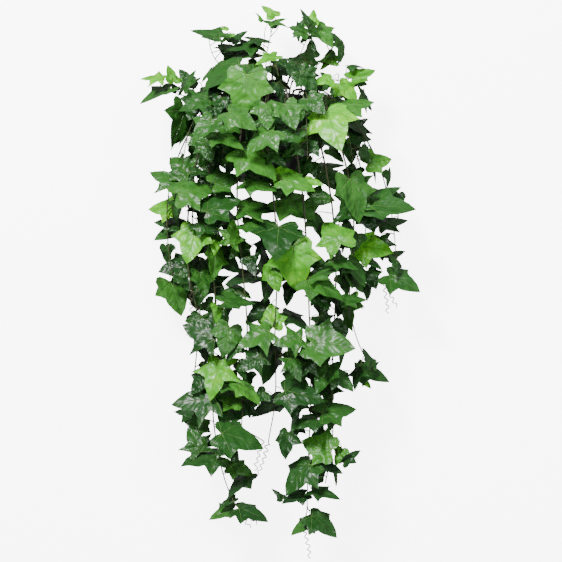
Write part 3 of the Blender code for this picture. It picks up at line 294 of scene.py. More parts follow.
# Each vine: its root in the soil (x, y), the points it passes through, the distance to its first leaf, the
# distance between leaves, leaf length at both ends, the way it faces (degrees, 0 is away from the wall and
# + is right), how much its leaves hang and its seed.
VINES = [
    Vine("crown_front_left", (-0.030, -0.062),
         [(-0.046, -0.095, 0.094), (-0.064, -0.134, 0.070), (-0.072, -0.154, 0.020),
          (-0.078, -0.156, -0.040)],
         0.054, 0.013, (0.062, 0.050), -12, 0.9, 1),
    Vine("crown_front", (-0.004, -0.068),
         [(-0.008, -0.102, 0.098), (-0.014, -0.144, 0.076), (-0.016, -0.166, 0.026),
          (-0.014, -0.170, -0.030)],
         0.050, 0.013, (0.074, 0.052), 0, 0.9, 2),
    Vine("crown_front_right", (0.024, -0.066),
         [(0.034, -0.098, 0.096), (0.048, -0.136, 0.072), (0.054, -0.158, 0.018), (0.056, -0.160, -0.040)],
         0.052, 0.013, (0.062, 0.050), 12, 0.9, 3),
    Vine("crown_middle", (-0.002, -0.050),
         [(0.000, -0.082, 0.122), (0.006, -0.118, 0.116), (0.010, -0.146, 0.092)],
         0.040, 0.013, (0.058, 0.056), 0, 0.6, 4),
    Vine("crown_middle_left", (-0.020, -0.048),
         [(-0.038, -0.074, 0.116), (-0.064, -0.106, 0.106), (-0.084, -0.126, 0.078)],
         0.038, 0.013, (0.056, 0.056), -20, 0.6, 5),
    Vine("crown_middle_right", (0.016, -0.050),
         [(0.034, -0.078, 0.118), (0.060, -0.108, 0.104), (0.080, -0.124, 0.076)],
         0.040, 0.013, (0.056, 0.054), 20, 0.6, 6),
    Vine("crown_high_left", (-0.022, -0.030),
         [(-0.034, -0.044, 0.106), (-0.058, -0.060, 0.126), (-0.086, -0.074, 0.112)],
         0.036, 0.013, (0.050, 0.048), -15, 0.3, 7),
    Vine("crown_high_middle", (0.002, -0.032),
         [(0.000, -0.046, 0.116), (-0.012, -0.064, 0.138), (-0.022, -0.086, 0.132)],
         0.036, 0.013, (0.050, 0.046), 0, 0.3, 8),
    Vine("crown_high_right", (0.026, -0.034),
         [(0.034, -0.048, 0.110), (0.050, -0.066, 0.130), (0.066, -0.086, 0.118)],
         0.036, 0.013, (0.052, 0.046), 15, 0.3, 9),
    Vine("crown_left", (-0.048, -0.042),
         [(-0.076, -0.054, 0.090), (-0.110, -0.070, 0.080), (-0.138, -0.080, 0.048)],
         0.036, 0.013, (0.052, 0.050), -35, 0.6, 10),
    Vine("crown_right", (0.048, -0.042),
         [(0.076, -0.054, 0.092), (0.104, -0.070, 0.082), (0.128, -0.082, 0.056)],
         0.036, 0.013, (0.052, 0.048), 35, 0.6, 11),
    Vine("crown_low_left", (-0.050, -0.058),
         [(-0.080, -0.074, 0.082), (-0.112, -0.090, 0.052), (-0.136, -0.098, 0.005),
          (-0.144, -0.100, -0.045)],
         0.036, 0.013, (0.054, 0.048), -30, 0.9, 12),
    Vine("crown_low_right", (0.050, -0.058),
         [(0.080, -0.074, 0.082), (0.106, -0.090, 0.050), (0.124, -0.098, 0.000), (0.130, -0.100, -0.050)],
         0.036, 0.013, (0.054, 0.048), 30, 0.9, 13),
    Vine("sprig_far_left", (-0.050, -0.026),
         [(-0.080, -0.034, 0.088), (-0.118, -0.042, 0.072), (-0.150, -0.048, 0.070),
          (-0.184, -0.054, 0.086)],
         0.104, 0.013, (0.030, 0.025), -10, -0.5, 14),
    Vine("sprig_upper_left", (-0.034, -0.018),
         [(-0.056, -0.028, 0.100), (-0.088, -0.036, 0.122), (-0.104, -0.042, 0.148),
          (-0.104, -0.044, 0.176)],
         0.076, 0.014, (0.040, 0.027), -8, -0.4, 15),
    Vine("sprig_top_middle", (-0.008, -0.018),
         [(-0.012, -0.026, 0.112), (-0.008, -0.032, 0.152), (0.002, -0.036, 0.192)],
         0.086, 0.014, (0.040, 0.025), 0, -0.5, 16),
    Vine("sprig_top_right", (0.014, -0.018),
         [(0.030, -0.028, 0.108), (0.048, -0.036, 0.146), (0.064, -0.040, 0.182)],
         0.076, 0.015, (0.042, 0.032), 6, -0.4, 17),
    Vine("sprig_high_right", (0.034, -0.018),
         [(0.058, -0.028, 0.108), (0.084, -0.034, 0.132), (0.104, -0.038, 0.158)],
         0.066, 0.015, (0.044, 0.032), 10, -0.3, 18),
    Vine("sprig_right", (0.050, -0.026),
         [(0.078, -0.036, 0.094), (0.108, -0.044, 0.096), (0.142, -0.050, 0.102)],
         0.062, 0.015, (0.040, 0.028), 12, -0.2, 19),
    Vine("trail_centre", (-0.002, -0.086),
         [(-0.006, -0.136, 0.076), (-0.008, -0.150, -0.010), (0.004, -0.138, -0.120),
          (0.008, -0.122, -0.220),
          (0.004, -0.108, -0.320), (0.006, -0.098, -0.400), (0.002, -0.092, -0.446)],
         0.070, 0.020, (0.058, 0.036), 0, 1.0, 20),
    Vine("trail_long_right", (0.014, -0.084),
         [(0.022, -0.134, 0.076), (0.034, -0.148, 0.000), (0.050, -0.134, -0.110), (0.056, -0.120, -0.210),
          (0.060, -0.108, -0.310), (0.062, -0.096, -0.420), (0.058, -0.088, -0.520),
          (0.056, -0.082, -0.606)],
         0.070, 0.020, (0.058, 0.032), 4, 1.0, 21),
    Vine("trail_left_inner", (-0.018, -0.084),
         [(-0.034, -0.128, 0.076), (-0.050, -0.140, 0.000), (-0.056, -0.128, -0.110),
          (-0.048, -0.112, -0.210),
          (-0.040, -0.100, -0.310), (-0.046, -0.090, -0.400), (-0.050, -0.084, -0.470)],
         0.070, 0.020, (0.056, 0.036), -6, 1.0, 22),
    Vine("trail_right_inner", (0.030, -0.082),
         [(0.050, -0.122, 0.076), (0.072, -0.132, 0.005), (0.094, -0.120, -0.100), (0.102, -0.108, -0.200),
          (0.100, -0.096, -0.300), (0.096, -0.088, -0.400), (0.098, -0.080, -0.490),
          (0.086, -0.074, -0.560)],
         0.070, 0.020, (0.056, 0.036), 10, 1.0, 23),
    Vine("trail_long_left", (-0.034, -0.080),
         [(-0.062, -0.112, 0.078), (-0.086, -0.122, 0.020), (-0.102, -0.112, -0.070),
          (-0.104, -0.098, -0.160),
          (-0.092, -0.086, -0.260), (-0.096, -0.076, -0.360), (-0.096, -0.068, -0.460),
          (-0.080, -0.060, -0.550),
          (-0.062, -0.056, -0.596)],
         0.070, 0.020, (0.056, 0.032), -10, 1.0, 24),
    Vine("trail_left", (-0.043, -0.067),
         [(-0.078, -0.094, 0.080), (-0.108, -0.102, 0.010), (-0.132, -0.092, -0.090),
          (-0.138, -0.082, -0.200),
          (-0.120, -0.074, -0.300), (-0.128, -0.068, -0.400), (-0.124, -0.062, -0.490)],
         0.070, 0.020, (0.054, 0.042), -18, 1.0, 25),
    Vine("trail_right_spray", (0.042, -0.072),
         [(0.070, -0.096, 0.080), (0.100, -0.104, 0.015), (0.126, -0.096, -0.080), (0.132, -0.088, -0.180),
          (0.124, -0.080, -0.260), (0.138, -0.074, -0.330), (0.164, -0.068, -0.380)],
         0.070, 0.020, (0.054, 0.044), 15, 1.0, 26),
    Vine("trail_outer_left", (-0.054, -0.046),
         [(-0.084, -0.058, 0.076), (-0.124, -0.064, 0.030), (-0.158, -0.062, -0.040),
          (-0.172, -0.058, -0.110),
          (-0.170, -0.054, -0.180), (-0.160, -0.050, -0.244)],
         0.060, 0.020, (0.050, 0.036), -30, 0.9, 27),
    Vine("trail_outer_right", (0.054, -0.046),
         [(0.084, -0.058, 0.076), (0.128, -0.064, 0.034), (0.166, -0.062, -0.024), (0.188, -0.058, -0.090),
          (0.200, -0.054, -0.160), (0.202, -0.050, -0.222)],
         0.060, 0.020, (0.052, 0.042), 28, 0.9, 28),
    Vine("trail_right_wall", (0.052, -0.032),
         [(0.080, -0.038, 0.078), (0.120, -0.040, 0.024), (0.146, -0.038, -0.050), (0.154, -0.036, -0.130),
          (0.148, -0.034, -0.200), (0.138, -0.034, -0.248)],
         0.060, 0.020, (0.050, 0.040), 25, 0.9, 29),
    Vine("trail_left_wall", (-0.054, -0.034),
         [(-0.080, -0.040, 0.076), (-0.114, -0.042, 0.020), (-0.130, -0.040, -0.070),
          (-0.130, -0.038, -0.160),
          (-0.122, -0.036, -0.250), (-0.116, -0.034, -0.320)],
         0.060, 0.020, (0.050, 0.044), -25, 0.9, 30),
]


# The leaves that show from the front, the foremost first: where each blade starts and where its tip is
# (x, z), and how wide it looks from the front, in millimetres.
FRONT_LEAVES = (
    (-176, 94, -216, 99, 24), (-160, 89, -169, 120, 32), (-143, 76, -127, 114, 18),
    (-166, 79, -215, 55, 10), (-85, 161, -134, 179, 32), (-77, 185, -102, 174, 16),
    (-67, 171, -87, 153, 16), (-73, 145, -99, 154, 12), (-66, 158, -41, 181, 28), (4, 198, -18, 220, 28),
    (-16, 190, -27, 208, 12), (2, 188, 24, 197, 18), (8, 179, -20, 192, 14), (-1, 182, 26, 178, 14),
    (66, 183, 66, 212, 30), (61, 175, 46, 210, 20), (56, 164, 26, 184, 28), (59, 166, 44, 153, 18),
    (72, 180, 99, 147, 41), (84, 176, 122, 158, 28), (112, 159, 114, 122, 14), (94, 123, 96, 156, 45),
    (130, 96, 168, 113, 36), (122, 116, 153, 120, 16), (60, 121, 63, 165, 30), (-39, 91, -44, 18, 93),
    (6, 130, -28, 116, 24), (-23, 153, -78, 147, 28), (-37, 162, 1, 162, 16), (53, 126, 26, 135, 24),
    (94, 91, 63, 84, 32), (109, 87, 138, 58, 41), (108, 41, 164, 61, 41), (118, 30, 156, 7, 28),
    (87, 35, 105, -20, 85), (69, 75, 13, 59, 41), (-19, 62, 36, 49, 20), (-52, 112, -112, 75, 53),
    (-25, 124, -54, 99, 36), (-27, 140, -69, 131, 28), (-98, 59, -149, 41, 45), (-106, 80, -128, 60, 24),
    (-142, 45, -156, -17, 45), (-67, 30, -23, 5, 49), (-98, 1, -42, -24, 49), (-107, -13, -95, -42, 41),
    (-37, -39, -74, -42, 32), (-48, -28, 10, -64, 61), (2, 1, -42, -28, 49), (-135, -60, -167, -29, 53),
    (-153, -76, -199, -52, 49), (-129, -60, -100, -58, 20), (-148, -95, -90, -77, 57),
    (-91, -78, -47, -64, 45), (-154, -103, -105, -112, 28), (-103, -124, -50, -97, 53),
    (-158, -112, -207, -110, 45), (-154, -140, -197, -131, 32), (-147, -145, -196, -163, 41),
    (-122, -150, -137, -204, 65), (-118, -139, -82, -153, 36), (-62, -137, -127, -124, 32),
    (-91, -161, -91, -191, 34), (-67, -174, -58, -132, 41), (-43, -77, 8, -88, 45),
    (-53, -117, 17, -113, 53), (19, -74, 68, -88, 41), (14, -102, 72, -131, 57), (52, -74, 81, -80, 28),
    (8, -65, 50, -65, 41), (32, -178, 41, -251, 85), (6, -133, 10, -167, 49), (10, -147, 6, -198, 89),
    (108, -174, 83, -130, 65), (97, -167, 94, -196, 36), (106, -175, 136, -178, 18),
    (66, -128, 85, -163, 32), (130, -116, 95, -134, 28), (122, -71, 140, -140, 65),
    (133, -110, 164, -117, 28), (140, -175, 195, -180, 61), (163, -100, 209, -75, 41),
    (159, -113, 230, -115, 53), (173, -143, 222, -129, 41), (190, -195, 219, -177, 28),
    (154, -43, 195, -32, 45), (125, 3, 164, 3, 32), (123, -1, 130, -41, 41), (72, -49, 120, -38, 32),
    (53, -19, 100, -33, 36), (80, -54, 112, -83, 41), (137, -47, 115, -76, 36), (57, -6, 24, -20, 28),
    (43, -22, 14, -37, 32), (-10, 44, -6, 4, 49), (20, 44, 37, 4, 53), (-89, 23, -49, 9, 36),
    (57, 56, 83, 31, 45), (-1, 118, 24, 85, 41), (34, 117, 70, 99, 32), (-93, 18, -122, -15, 45),
    (37, 4, -2, -21, 45), (63, 21, 41, -5, 36), (21, 85, 50, 70, 36), (-1, 66, 31, 37, 41),
    (63, -41, 34, -66, 41), (-5, -31, 24, -53, 36), (93, -15, 118, -37, 32), (-27, 20, 2, -1, 41),
    (-77, 89, -102, 63, 41), (-113, 31, -124, -9, 36), (96, 60, 121, 31, 36), (-47, 93, -80, 111, 32),
    (60, -97, 100, -101, 45), (-44, -142, -4, -153, 32), (-56, -174, -34, -203, 41),
    (0, -209, 9, -250, 45), (-6, -198, -10, -267, 45), (-25, -225, -78, -237, 28),
    (-71, -244, -33, -253, 28), (-77, -267, -26, -266, 28), (-92, -182, -94, -231, 36),
    (-117, -219, -106, -258, 36), (-120, -199, -127, -246, 32), (-137, -207, -186, -211, 53),
    (-169, -234, -148, -289, 61), (-154, -255, -197, -270, 36), (0, -306, -3, -266, 47),
    (-5, -274, -45, -300, 41), (0, -267, 76, -276, 36), (17, -284, 65, -311, 36),
    (56, -232, 114, -251, 41), (59, -228, 107, -209, 32), (64, -252, 93, -277, 36),
    (110, -263, 152, -259, 32), (123, -260, 118, -311, 32), (95, -200, 137, -211, 32),
    (122, -199, 151, -239, 36), (155, -216, 169, -245, 41), (189, -223, 240, -246, 49),
    (153, -197, 180, -212, 24), (-89, -271, -87, -303, 28), (-92, -325, -146, -300, 69),
    (-68, -306, -78, -353, 57), (-4, -313, -57, -335, 53), (47, -324, 2, -331, 45),
    (62, -330, 132, -337, 73), (69, -337, 44, -344, 41), (-18, -352, -54, -374, 49),
    (0, -334, -10, -399, 49), (-54, -336, -76, -358, 28), (28, -355, 46, -391, 45),
    (63, -355, 34, -388, 49), (-83, -360, -102, -422, 69), (92, -367, 70, -411, 45),
    (99, -381, 132, -403, 36), (142, -368, 129, -407, 16), (140, -375, 191, -393, 49),
    (159, -371, 147, -338, 20), (138, -386, 162, -406, 28), (-53, -397, -17, -426, 28),
    (-83, -391, -39, -406, 41), (20, -408, 83, -419, 57), (-92, -421, -167, -428, 69),
    (-106, -384, -131, -413, 41), (-53, -425, -97, -411, 41), (-54, -426, -83, -466, 81),
    (14, -428, -35, -452, 36), (-99, -423, -121, -459, 24), (-126, -454, -163, -440, 16),
    (-124, -458, -104, -464, 12), (-116, -507, -137, -467, 53), (-86, -515, -153, -517, 41),
    (-118, -492, -92, -496, 28), (-81, -475, -7, -495, 53), (-79, -491, -53, -524, 49),
    (-66, -531, -30, -542, 32), (-66, -535, -84, -517, 24), (-39, -546, -75, -579, 22),
    (-60, -583, -88, -597, 16), (-63, -602, -103, -615, 20), (-54, -597, -5, -612, 22),
    (26, -474, 16, -514, 41), (72, -453, 28, -464, 28), (82, -440, 60, -455, 20),
    (80, -444, 136, -433, 41), (88, -460, 146, -470, 69), (91, -397, 91, -440, 41),
    (93, -503, 46, -488, 61), (112, -501, 100, -528, 28), (114, -523, 141, -501, 16),
    (76, -528, 114, -539, 22), (60, -526, 17, -566, 53), (64, -567, 110, -577, 28),
    (52, -573, 14, -584, 22), (17, -581, -1, -563, 14), (67, -615, 28, -635, 26),
    (63, -608, 105, -637, 41),
)

# The tendrils that show: where each leaves its stem's leaves and where it ends (x, z), in millimetres.
TENDRILS = (
    (-133, -246, -130, -295), (-126, -246, -117, -300), (181, -237, 190, -285), (186, -237, 202,
    -275), (-16, -489, -28, -538), (-6, -489, -21, -544), (-58, -599, -36, -635), (-52, -599, -26,
    -629), (50, -625, 62, -680), (126, -271, 149, -275)
)


def width_at(z):
    share = (z - POT_FLOOR) / (POT_TOP - POT_FLOOR)
    return FLOOR_HALF_WIDTH + (RIM_HALF_WIDTH - FLOOR_HALF_WIDTH) * share


def depth_at(z):
    share = (z - POT_FLOOR) / (POT_TOP - POT_FLOOR)
    return FLOOR_DEPTH + (RIM_DEPTH - FLOOR_DEPTH) * share


def rim_reach(x, y, z):
    """How far out a point is from the pot's back middle, where 1 is on the pot's outer wall. Above the
    rim's height and below the floor nothing is in the way."""
    if not POT_FLOOR - POT_CLEARANCE < z < POT_TOP + POT_CLEARANCE:
        return math.inf
    level = min(max(z, POT_FLOOR), POT_TOP)
    return math.hypot(x / width_at(level), y / depth_at(level))


def smooth_route(vine):
    """The stem's centreline: a Catmull-Rom curve from the planting hole through the route's points."""
    foot = Vector((*vine.root, SOIL_TOP - PLANTING_DEPTH + FIT_GAP))
    neck = foot + Vector((0, 0, NECK))
    points = [neck] + [Vector(p) for p in vine.route]
    ends = [foot] + points + [2 * points[-1] - points[-2]]
    path = [foot, (foot + neck) / 2]
    for a, b, c, d in zip(ends, ends[1:], ends[2:], ends[3:]):
        steps = max(2, round((c - b).length / STEM_SAMPLE))
        for i in range(steps):
            t = i / steps
            path.append(0.5 * (2 * b + (c - a) * t + (2 * a - 5 * b + 4 * c - d) * t**2
                               + (3 * b - a - 3 * c + d) * t**3))
    path.append(points[-1])
    return np.array(path)


def spread_apart(paths):
    """Stems that would touch are pushed apart, and every stem is kept clear of the wall and the pot."""
    owner = np.concatenate([np.full(len(p), i) for i, p in enumerate(paths)])
    first = np.concatenate([np.arange(len(p)) < 3 for p in paths])
    points = np.concatenate(paths)
    for _ in range(30):
        push = np.zeros_like(points)
        for i in range(len(points)):
            away = points[i] - points
            gap = np.linalg.norm(away, axis=1)
            near = (gap < STEM_GAP) & (owner != owner[i]) & (gap > 1e-9)
            if near.any():
                push[i] = (away[near] / gap[near, None] * (STEM_GAP - gap[near, None])).sum(axis=0)
        inner = (owner[1:-1] == owner[:-2]) & (owner[1:-1] == owner[2:])
        push[1:-1][inner] += 0.25 * (points[:-2] + points[2:] - 2 * points[1:-1])[inner]
        points += np.where(first[:, None], 0, 0.5 * push)
        for p in (points[i] for i in np.flatnonzero(~first)):
            p[1] = min(p[1], -0.012)
            reach = rim_reach(*p)
            if 0.88 < reach < 1.0:
                p[2] = POT_TOP + POT_CLEARANCE
            elif reach < STAND_OFF:
                p[:2] *= STAND_OFF / reach if reach >= 1.0 else 1
    return [points[owner == i] for i in range(len(paths))]


def along(path, distance):
    """(point, direction) at a distance along a path."""
    steps = np.linalg.norm(np.diff(path, axis=0), axis=1)
    total = np.concatenate([[0], np.cumsum(steps)])
    i = int(np.clip(np.searchsorted(total, distance) - 1, 0, len(steps) - 1))
    t = (distance - total[i]) / steps[i]
    return Vector(path[i] + t * (path[i + 1] - path[i])), Vector(path[i + 1] - path[i]).normalized()


def length_of(path):
    return float(np.linalg.norm(np.diff(path, axis=0), axis=1).sum())


def zigzag(start, end, rng):
    """A tendril's points between two places: it swings from side to side."""
    run = end - start
    swings = max(4, round(run.length / TENDRIL_PITCH))
    side = run.normalized().cross(Vector((rng.uniform(-0.4, 0.4), 1, 0))).normalized()
    points = [start]
    for i in range(1, swings):
        swing = TENDRIL_SWING * (1 if i % 2 else -1) * rng.uniform(0.5, 1.2)
        points.append(start + run * (i / swings) + side * swing + Vector((0, rng.uniform(-0.002, 0.001), 0)))
    return points + [end]


def half_outlines(size, curl):
    """The right and left halves of a leaf's outline and its tip, in leaf lengths."""
    outline = lobes_of(size, curl)
    right_lift, left_lift, tip_lift = CURLS[curl]
    skip = 4 - len(outline)
    right = [Vector((x, y, lift)) for (x, y), lift in zip(outline, right_lift[skip:])]
    left = [Vector((-x, y, lift)) for (x, y), lift in zip(outline, left_lift[skip:])]
    return right, left, Vector((0, 1, tip_lift))


def lobes_of(size, curl):
    """A small leaf has three lobes; a grown one has five, blunt or pointed."""
    if size <= SMALL_LEAF:
        return THREE_LOBES
    return STAR_LOBES if curl == STAR_CURL else FIVE_LOBES


def blade_points(shoot):
    """The outline of a shoot's leaf, counter-clockwise from the stalk, and the middle of its blade."""
    right, left, tip = half_outlines(shoot.size, shoot.curl)
    ring = [shoot.frame @ (p * shoot.size) for p in right + [tip] + left[::-1]]
    return ring, shoot.frame @ (Vector((0, 0.26, 0.03)) * shoot.size)


def shoot_surface(shoot):
    """A stand-in for a shoot, a little thicker than it, as points and triangles, to test whether it would
    touch another. The blade's points and faces come first."""
    points, faces = [], []
    if shoot.frame:
        ring, middle = blade_points(shoot)
        off = shoot.frame.col[2].to_3d() * BLADE_CLEARANCE
        points = [shoot.frame.translation.copy()] + ring + [middle + off, middle - off]
        n = len(ring) + 1
        faces = [(n + side, i, (i + 1) % n) for side in (0, 1) for i in range(n)]
    for a, b in zip(shoot.stalk, shoot.stalk[1:]):
        run = (b - a).normalized()
        across = run.orthogonal().normalized() * 0.0010
        for side in (across, run.cross(across)):
            n = len(points)
            points += [a - side, a + side, b + side, b - side]
            faces += [(n, n + 1, n + 2), (n, n + 2, n + 3)]
    return points, faces


def tube_surface(path, radius):
    """A stem as a four-sided tube, to test leaves against."""
    points, faces = [], []
    for i, p in enumerate(path[2:]):
        a, b = path[max(i + 1, 0)], p
        run = Vector(b - a).normalized()
        across = run.orthogonal().normalized() * radius
        up = run.cross(across)
        n = len(points)
        for centre in (Vector(a), Vector(b)):
            points += [centre + across, centre + up, centre - across, centre - up]
        for k in range(4):
            j = (k + 1) % 4
            faces += [(n + k, n + j, n + 4 + j), (n + k, n + 4 + j, n + 4 + k)]
    return points, faces


def blade_frame(base, tip_way, face):
    """A leaf's own axes: x across it, y from its stalk to its tip, z out of its upper face."""
    face = (face - tip_way * face.dot(tip_way)).normalized()
    frame = Matrix((tip_way.cross(face), tip_way, face)).transposed().to_4x4()
    frame.translation = base
    return frame


def leaf_shoot(at, start, base, tip_way, face, size, curl, mark):
    """A leaf on an arched stalk."""
    reach = (base - start).length
    middle = start.lerp(base, 0.5) + Vector((0, -0.06, 0.14)) * reach
    bend = middle.lerp(base - tip_way * 0.25 * reach, 0.4)
    return Shoot(at, [start, bend, base], blade_frame(base, tip_way, face), size, curl, mark)


def fill_leaf(vine, path, distance, size, side, rng):
    """One way that a leaf behind the front ones could grow from the stem here."""
    start, run = along(path, distance)
    turn = math.radians(vine.facing + rng.uniform(-30, 30))
    facing = Vector((math.sin(turn), -math.cos(turn), 0))
    out = (run.cross(facing) * side).normalized()
    lift = rng.uniform(-0.1, 0.55) + 0.35 * (vine.droop < 0)
    leave = out * rng.uniform(0.2, 1.0) + facing * rng.uniform(-0.6, 0.9) + Vector((0, 0, lift))
    base = start + leave.normalized() * rng.uniform(0.45, 0.8) * (0.6 * size + 0.012)
    hang = Vector((0, 0, -vine.droop)) + out * rng.uniform(-0.4, 1.1) + facing * rng.uniform(-0.3, 0.5)
    tip_way = (hang + run * (0.6 if vine.droop < 0 else 0)).normalized()
    look = facing + Vector((0, 0, rng.uniform(0.0, 0.9))) + out * rng.uniform(-0.5, 0.7)
    return leaf_shoot(distance, start, base, tip_way, look, size, rng.randrange(len(CURLS)), -1)


def front_pose(row, rng):
    """A front leaf's length, its tip's direction and its face's, from how it looks from the front. Its upper
    side is turned up."""
    x, z, tip_x, tip_z, wide = row
    drawn = Vector((tip_x - x, 0, tip_z - z)) / 1000
    size = min(max(drawn.length, wide / 1000 / LEAF_SPREAD) * 1.04, LONGEST_LEAF, 1.55 * drawn.length)
    pitch = math.acos(min(1.0, drawn.length / size)) * (1 if drawn.z < 0 else -1)
    roll = math.acos(max(0.45, min(1.0, wide / 1000 / (LEAF_SPREAD * size))))
    drawn.normalize()
    ahead = Vector((0, -1, 0))
    tip_way = drawn * math.cos(pitch) + ahead * math.sin(pitch)
    face = ahead * math.cos(pitch) - drawn * math.sin(pitch)
    across = tip_way.cross(face)
    across *= rng.choice((-1, 1)) if abs(across.z) < 0.25 else math.copysign(1, across.z)
    return size, tip_way, face * math.cos(roll) + across * math.sin(roll)


def stems_near(x, z, paths, used):
    """(vine number, distance along it) of the stems that a leaf could hang from, the likeliest first."""
    found = []
    for number, path in enumerate(paths):
        steps = np.concatenate([[0], np.cumsum(np.linalg.norm(np.diff(path, axis=0), axis=1))])
        gap = np.hypot(path[:, 0] - x, path[:, 2] - z)
        cost = np.abs(gap - STALK_REACH) + 0.5 * np.maximum(0, z - path[:, 2])
        cost[(steps < 0.03) | (gap > LONGEST_STALK)] = math.inf
        for at in used[number]:
            cost[np.abs(steps - at) < 4.5 * LEAF_JOINT] = math.inf
        best = int(np.argmin(cost))
        if cost[best] < math.inf:
            found.append((float(cost[best]), number, float(steps[best])))
    return [(number, at) for _, number, at in sorted(found)[:5]]


def seen_shape(row, y):
    """How a front leaf looks from the front: its middle (x, z), its direction, its half length and half
    width, and its middle's y."""
    x, z, tip_x, tip_z, wide = (v / 1000 for v in row)
    length = math.hypot(tip_x - x, tip_z - z)
    return ((x + tip_x) / 2, (z + tip_z) / 2, (tip_x - x) / length, (tip_z - z) / length,
            length / 2, wide / 2, y)


def is_inside(shape, x, z, margin):
    """True if a point lies within a front leaf's outline, seen from the front."""
    middle_x, middle_z, way_x, way_z, half_length, half_width, _ = shape
    x, z = x - middle_x, z - middle_z
    return math.hypot((x * way_x + z * way_z) / (half_length + margin),
                      (x * way_z - z * way_x) / (half_width + margin)) < 1


def front_leaf(mark, paths, tubes, placed, used, seen):
    """Places one front leaf, behind those that were placed before it and that it would hide. Returns the
    number of its vine and the shoot, or None if it fits nowhere."""
    row = FRONT_LEAVES[mark]
    rng = random.Random(mark)
    size, tip_way, face = front_pose(row, rng)
    curl = rng.randrange(len(CURLS))
    x, z, tip_x, tip_z, _ = (v / 1000 for v in row)
    spine = [(x + (tip_x - x) * share, z + (tip_z - z) * share) for share in (0.0, 0.5, 1.0)]
    before = [shape[-1] for shape in seen if any(is_inside(shape, *point, 0.003) for point in spine)]
    drawn = seen_shape(row, 0.0)
    crossed = [p[1] for path in paths for p in path[::3] if is_inside(drawn, p[0], p[2], 0.0)]
    stem_front = min(crossed, default=0.0)
    for shrink in (1.0, 0.9, 0.8):
        for number, at in stems_near(x, z, paths, used):
            start, _ = along(paths[number], at)
            nearest = max([min(start.y - FORWARD, stem_front - STEM_COVER)] + [y + 0.004 for y in before])
            ahead = [nearest - 0.005 * k for k in range(1, 7)]
            behind = [nearest + 0.004 * k for k in range(1, 9)]
            for y in [nearest] + (behind + ahead if before else ahead + behind):
                base = Vector((x, y - 0.35 * size * tip_way.y, z))
                shoot = leaf_shoot(at, start, base, tip_way, face, size * shrink, curl, mark)
                if shoot_is_free(shoot, number, tubes, placed):
                    seen.append(seen_shape(row, y))
                    used[number].append(at)
                    return number, shoot
    return None


def tendril(mark, paths, tubes, placed, used):
    """Places one tendril on the nearest stem that leaves it free, as front_leaf does for a leaf."""
    x, z, end_x, end_z = (v / 1000 for v in TENDRILS[mark])
    for number, at in stems_near(x, z, paths, used):
        start, _ = along(paths[number], at)
        for forward in (0.006, 0.014, 0.022, -0.004, 0.030):
            y = start.y - forward
            points = zigzag(Vector((x, y, z)), Vector((end_x, y + 0.002, end_z)), random.Random(mark))
            shoot = Shoot(at, [start] + points, None, 0, 0, -1)
            if shoot_is_free(shoot, number, tubes, placed):
                used[number].append(at)
                return number, shoot
    return None


def is_hidden(shoot, seen):
    """True if a leaf lies behind the front ones, or behind the crown's edge, as seen from the front."""
    ring, middle = blade_points(shoot)
    for p in ring:
        crown = math.hypot((p.x - CROWN_MIDDLE[0]) / CROWN_HALF[0], (p.z - CROWN_MIDDLE[1]) / CROWN_HALF[1])
        if crown > 1 and not any(is_inside(shape, p.x, p.z, 0.005) for shape in seen):
            return False
    return all(middle.y > shape[-1] + 0.003 for shape in seen for p in ring + [middle]
               if is_inside(shape, p.x, p.z, -0.3 * shape[5]))


def grow():
    """{vine name: (path, radius, shoots)}. The tendrils come first, then the front leaves, then leaves
    behind them. A leaf that would touch what is already there tries other ways to grow."""
    paths = spread_apart([smooth_route(vine) for vine in VINES])
    tubes = [BVHTree.FromPolygons(*tube_surface(path, stem_radius(path) + STEM_CLEARANCE)) for path in paths]
    shoots, used = [[] for _ in VINES], [[] for _ in VINES]
    placed, seen = [], []
    found = [tendril(mark, paths, tubes, placed, used) for mark in range(len(TENDRILS))]
    found += [front_leaf(mark, paths, tubes, placed, used, seen) for mark in range(len(FRONT_LEAVES))]
    for number, shoot in filter(None, found):
        shoots[number].append(shoot)
    for number, (vine, path) in enumerate(zip(VINES, paths)):
        rng = random.Random(vine.seed)
        total = length_of(path)
        distance, side = vine.first, 1 if vine.seed % 2 else -1
        while distance < total - 0.004:
            share = (distance - vine.first) / max(total - vine.first, 1e-6)
            size = (vine.sizes[0] + (vine.sizes[1] - vine.sizes[0]) * share) * rng.uniform(0.78, 1.18)
            if all(abs(distance - at) > 4.5 * LEAF_JOINT for at in used[number]):
                for attempt in range(TRIES):
                    shoot = fill_leaf(vine, path, distance, size * (1 - 0.015 * attempt), side, rng)
                    if is_hidden(shoot, seen) and shoot_is_free(shoot, number, tubes, placed):
                        shoots[number].append(shoot)
                        used[number].append(distance)
                        break
            distance += vine.spacing * rng.uniform(0.85, 1.15)
            side = -side
    return {vine.name: (path, stem_radius(path), sorted(own, key=lambda shoot: shoot.at))
            for vine, path, own in zip(VINES, paths, shoots)}


def stem_radius(path):
    """A long trail has a thicker stem than a sprig."""
    return 0.0009 + 0.0009 * min(length_of(path) / 0.6, 1.0)


def shoot_is_free(shoot, own, tubes, placed):
    """True if the shoot touches no stem, no other shoot, the pot or the wall; if so it joins those placed."""
    points, faces = shoot_surface(shoot)
    if max(p.y for p in points) > -0.004:
        return False
    if any(rim_reach(*p) < 1.09 for p in points[:-4]):
        return False
    tree = BVHTree.FromPolygons(points, faces)
    middle = sum(points, Vector()) / len(points)
    radius = max((p - middle).length for p in points)
    for i, tube in enumerate(tubes):
        if i != own and tube.overlap(tree):
            return False
    if shoot.frame:
        corners = faces[0][0]
        if tubes[own].overlap(BVHTree.FromPolygons(points[:corners + 2], faces[:2 * corners])):
            return False
    for other, other_middle, other_radius in placed:
        if (middle - other_middle).length < radius + other_radius and other.overlap(tree):
            return False
    placed.append((tree, middle, radius))
    return True


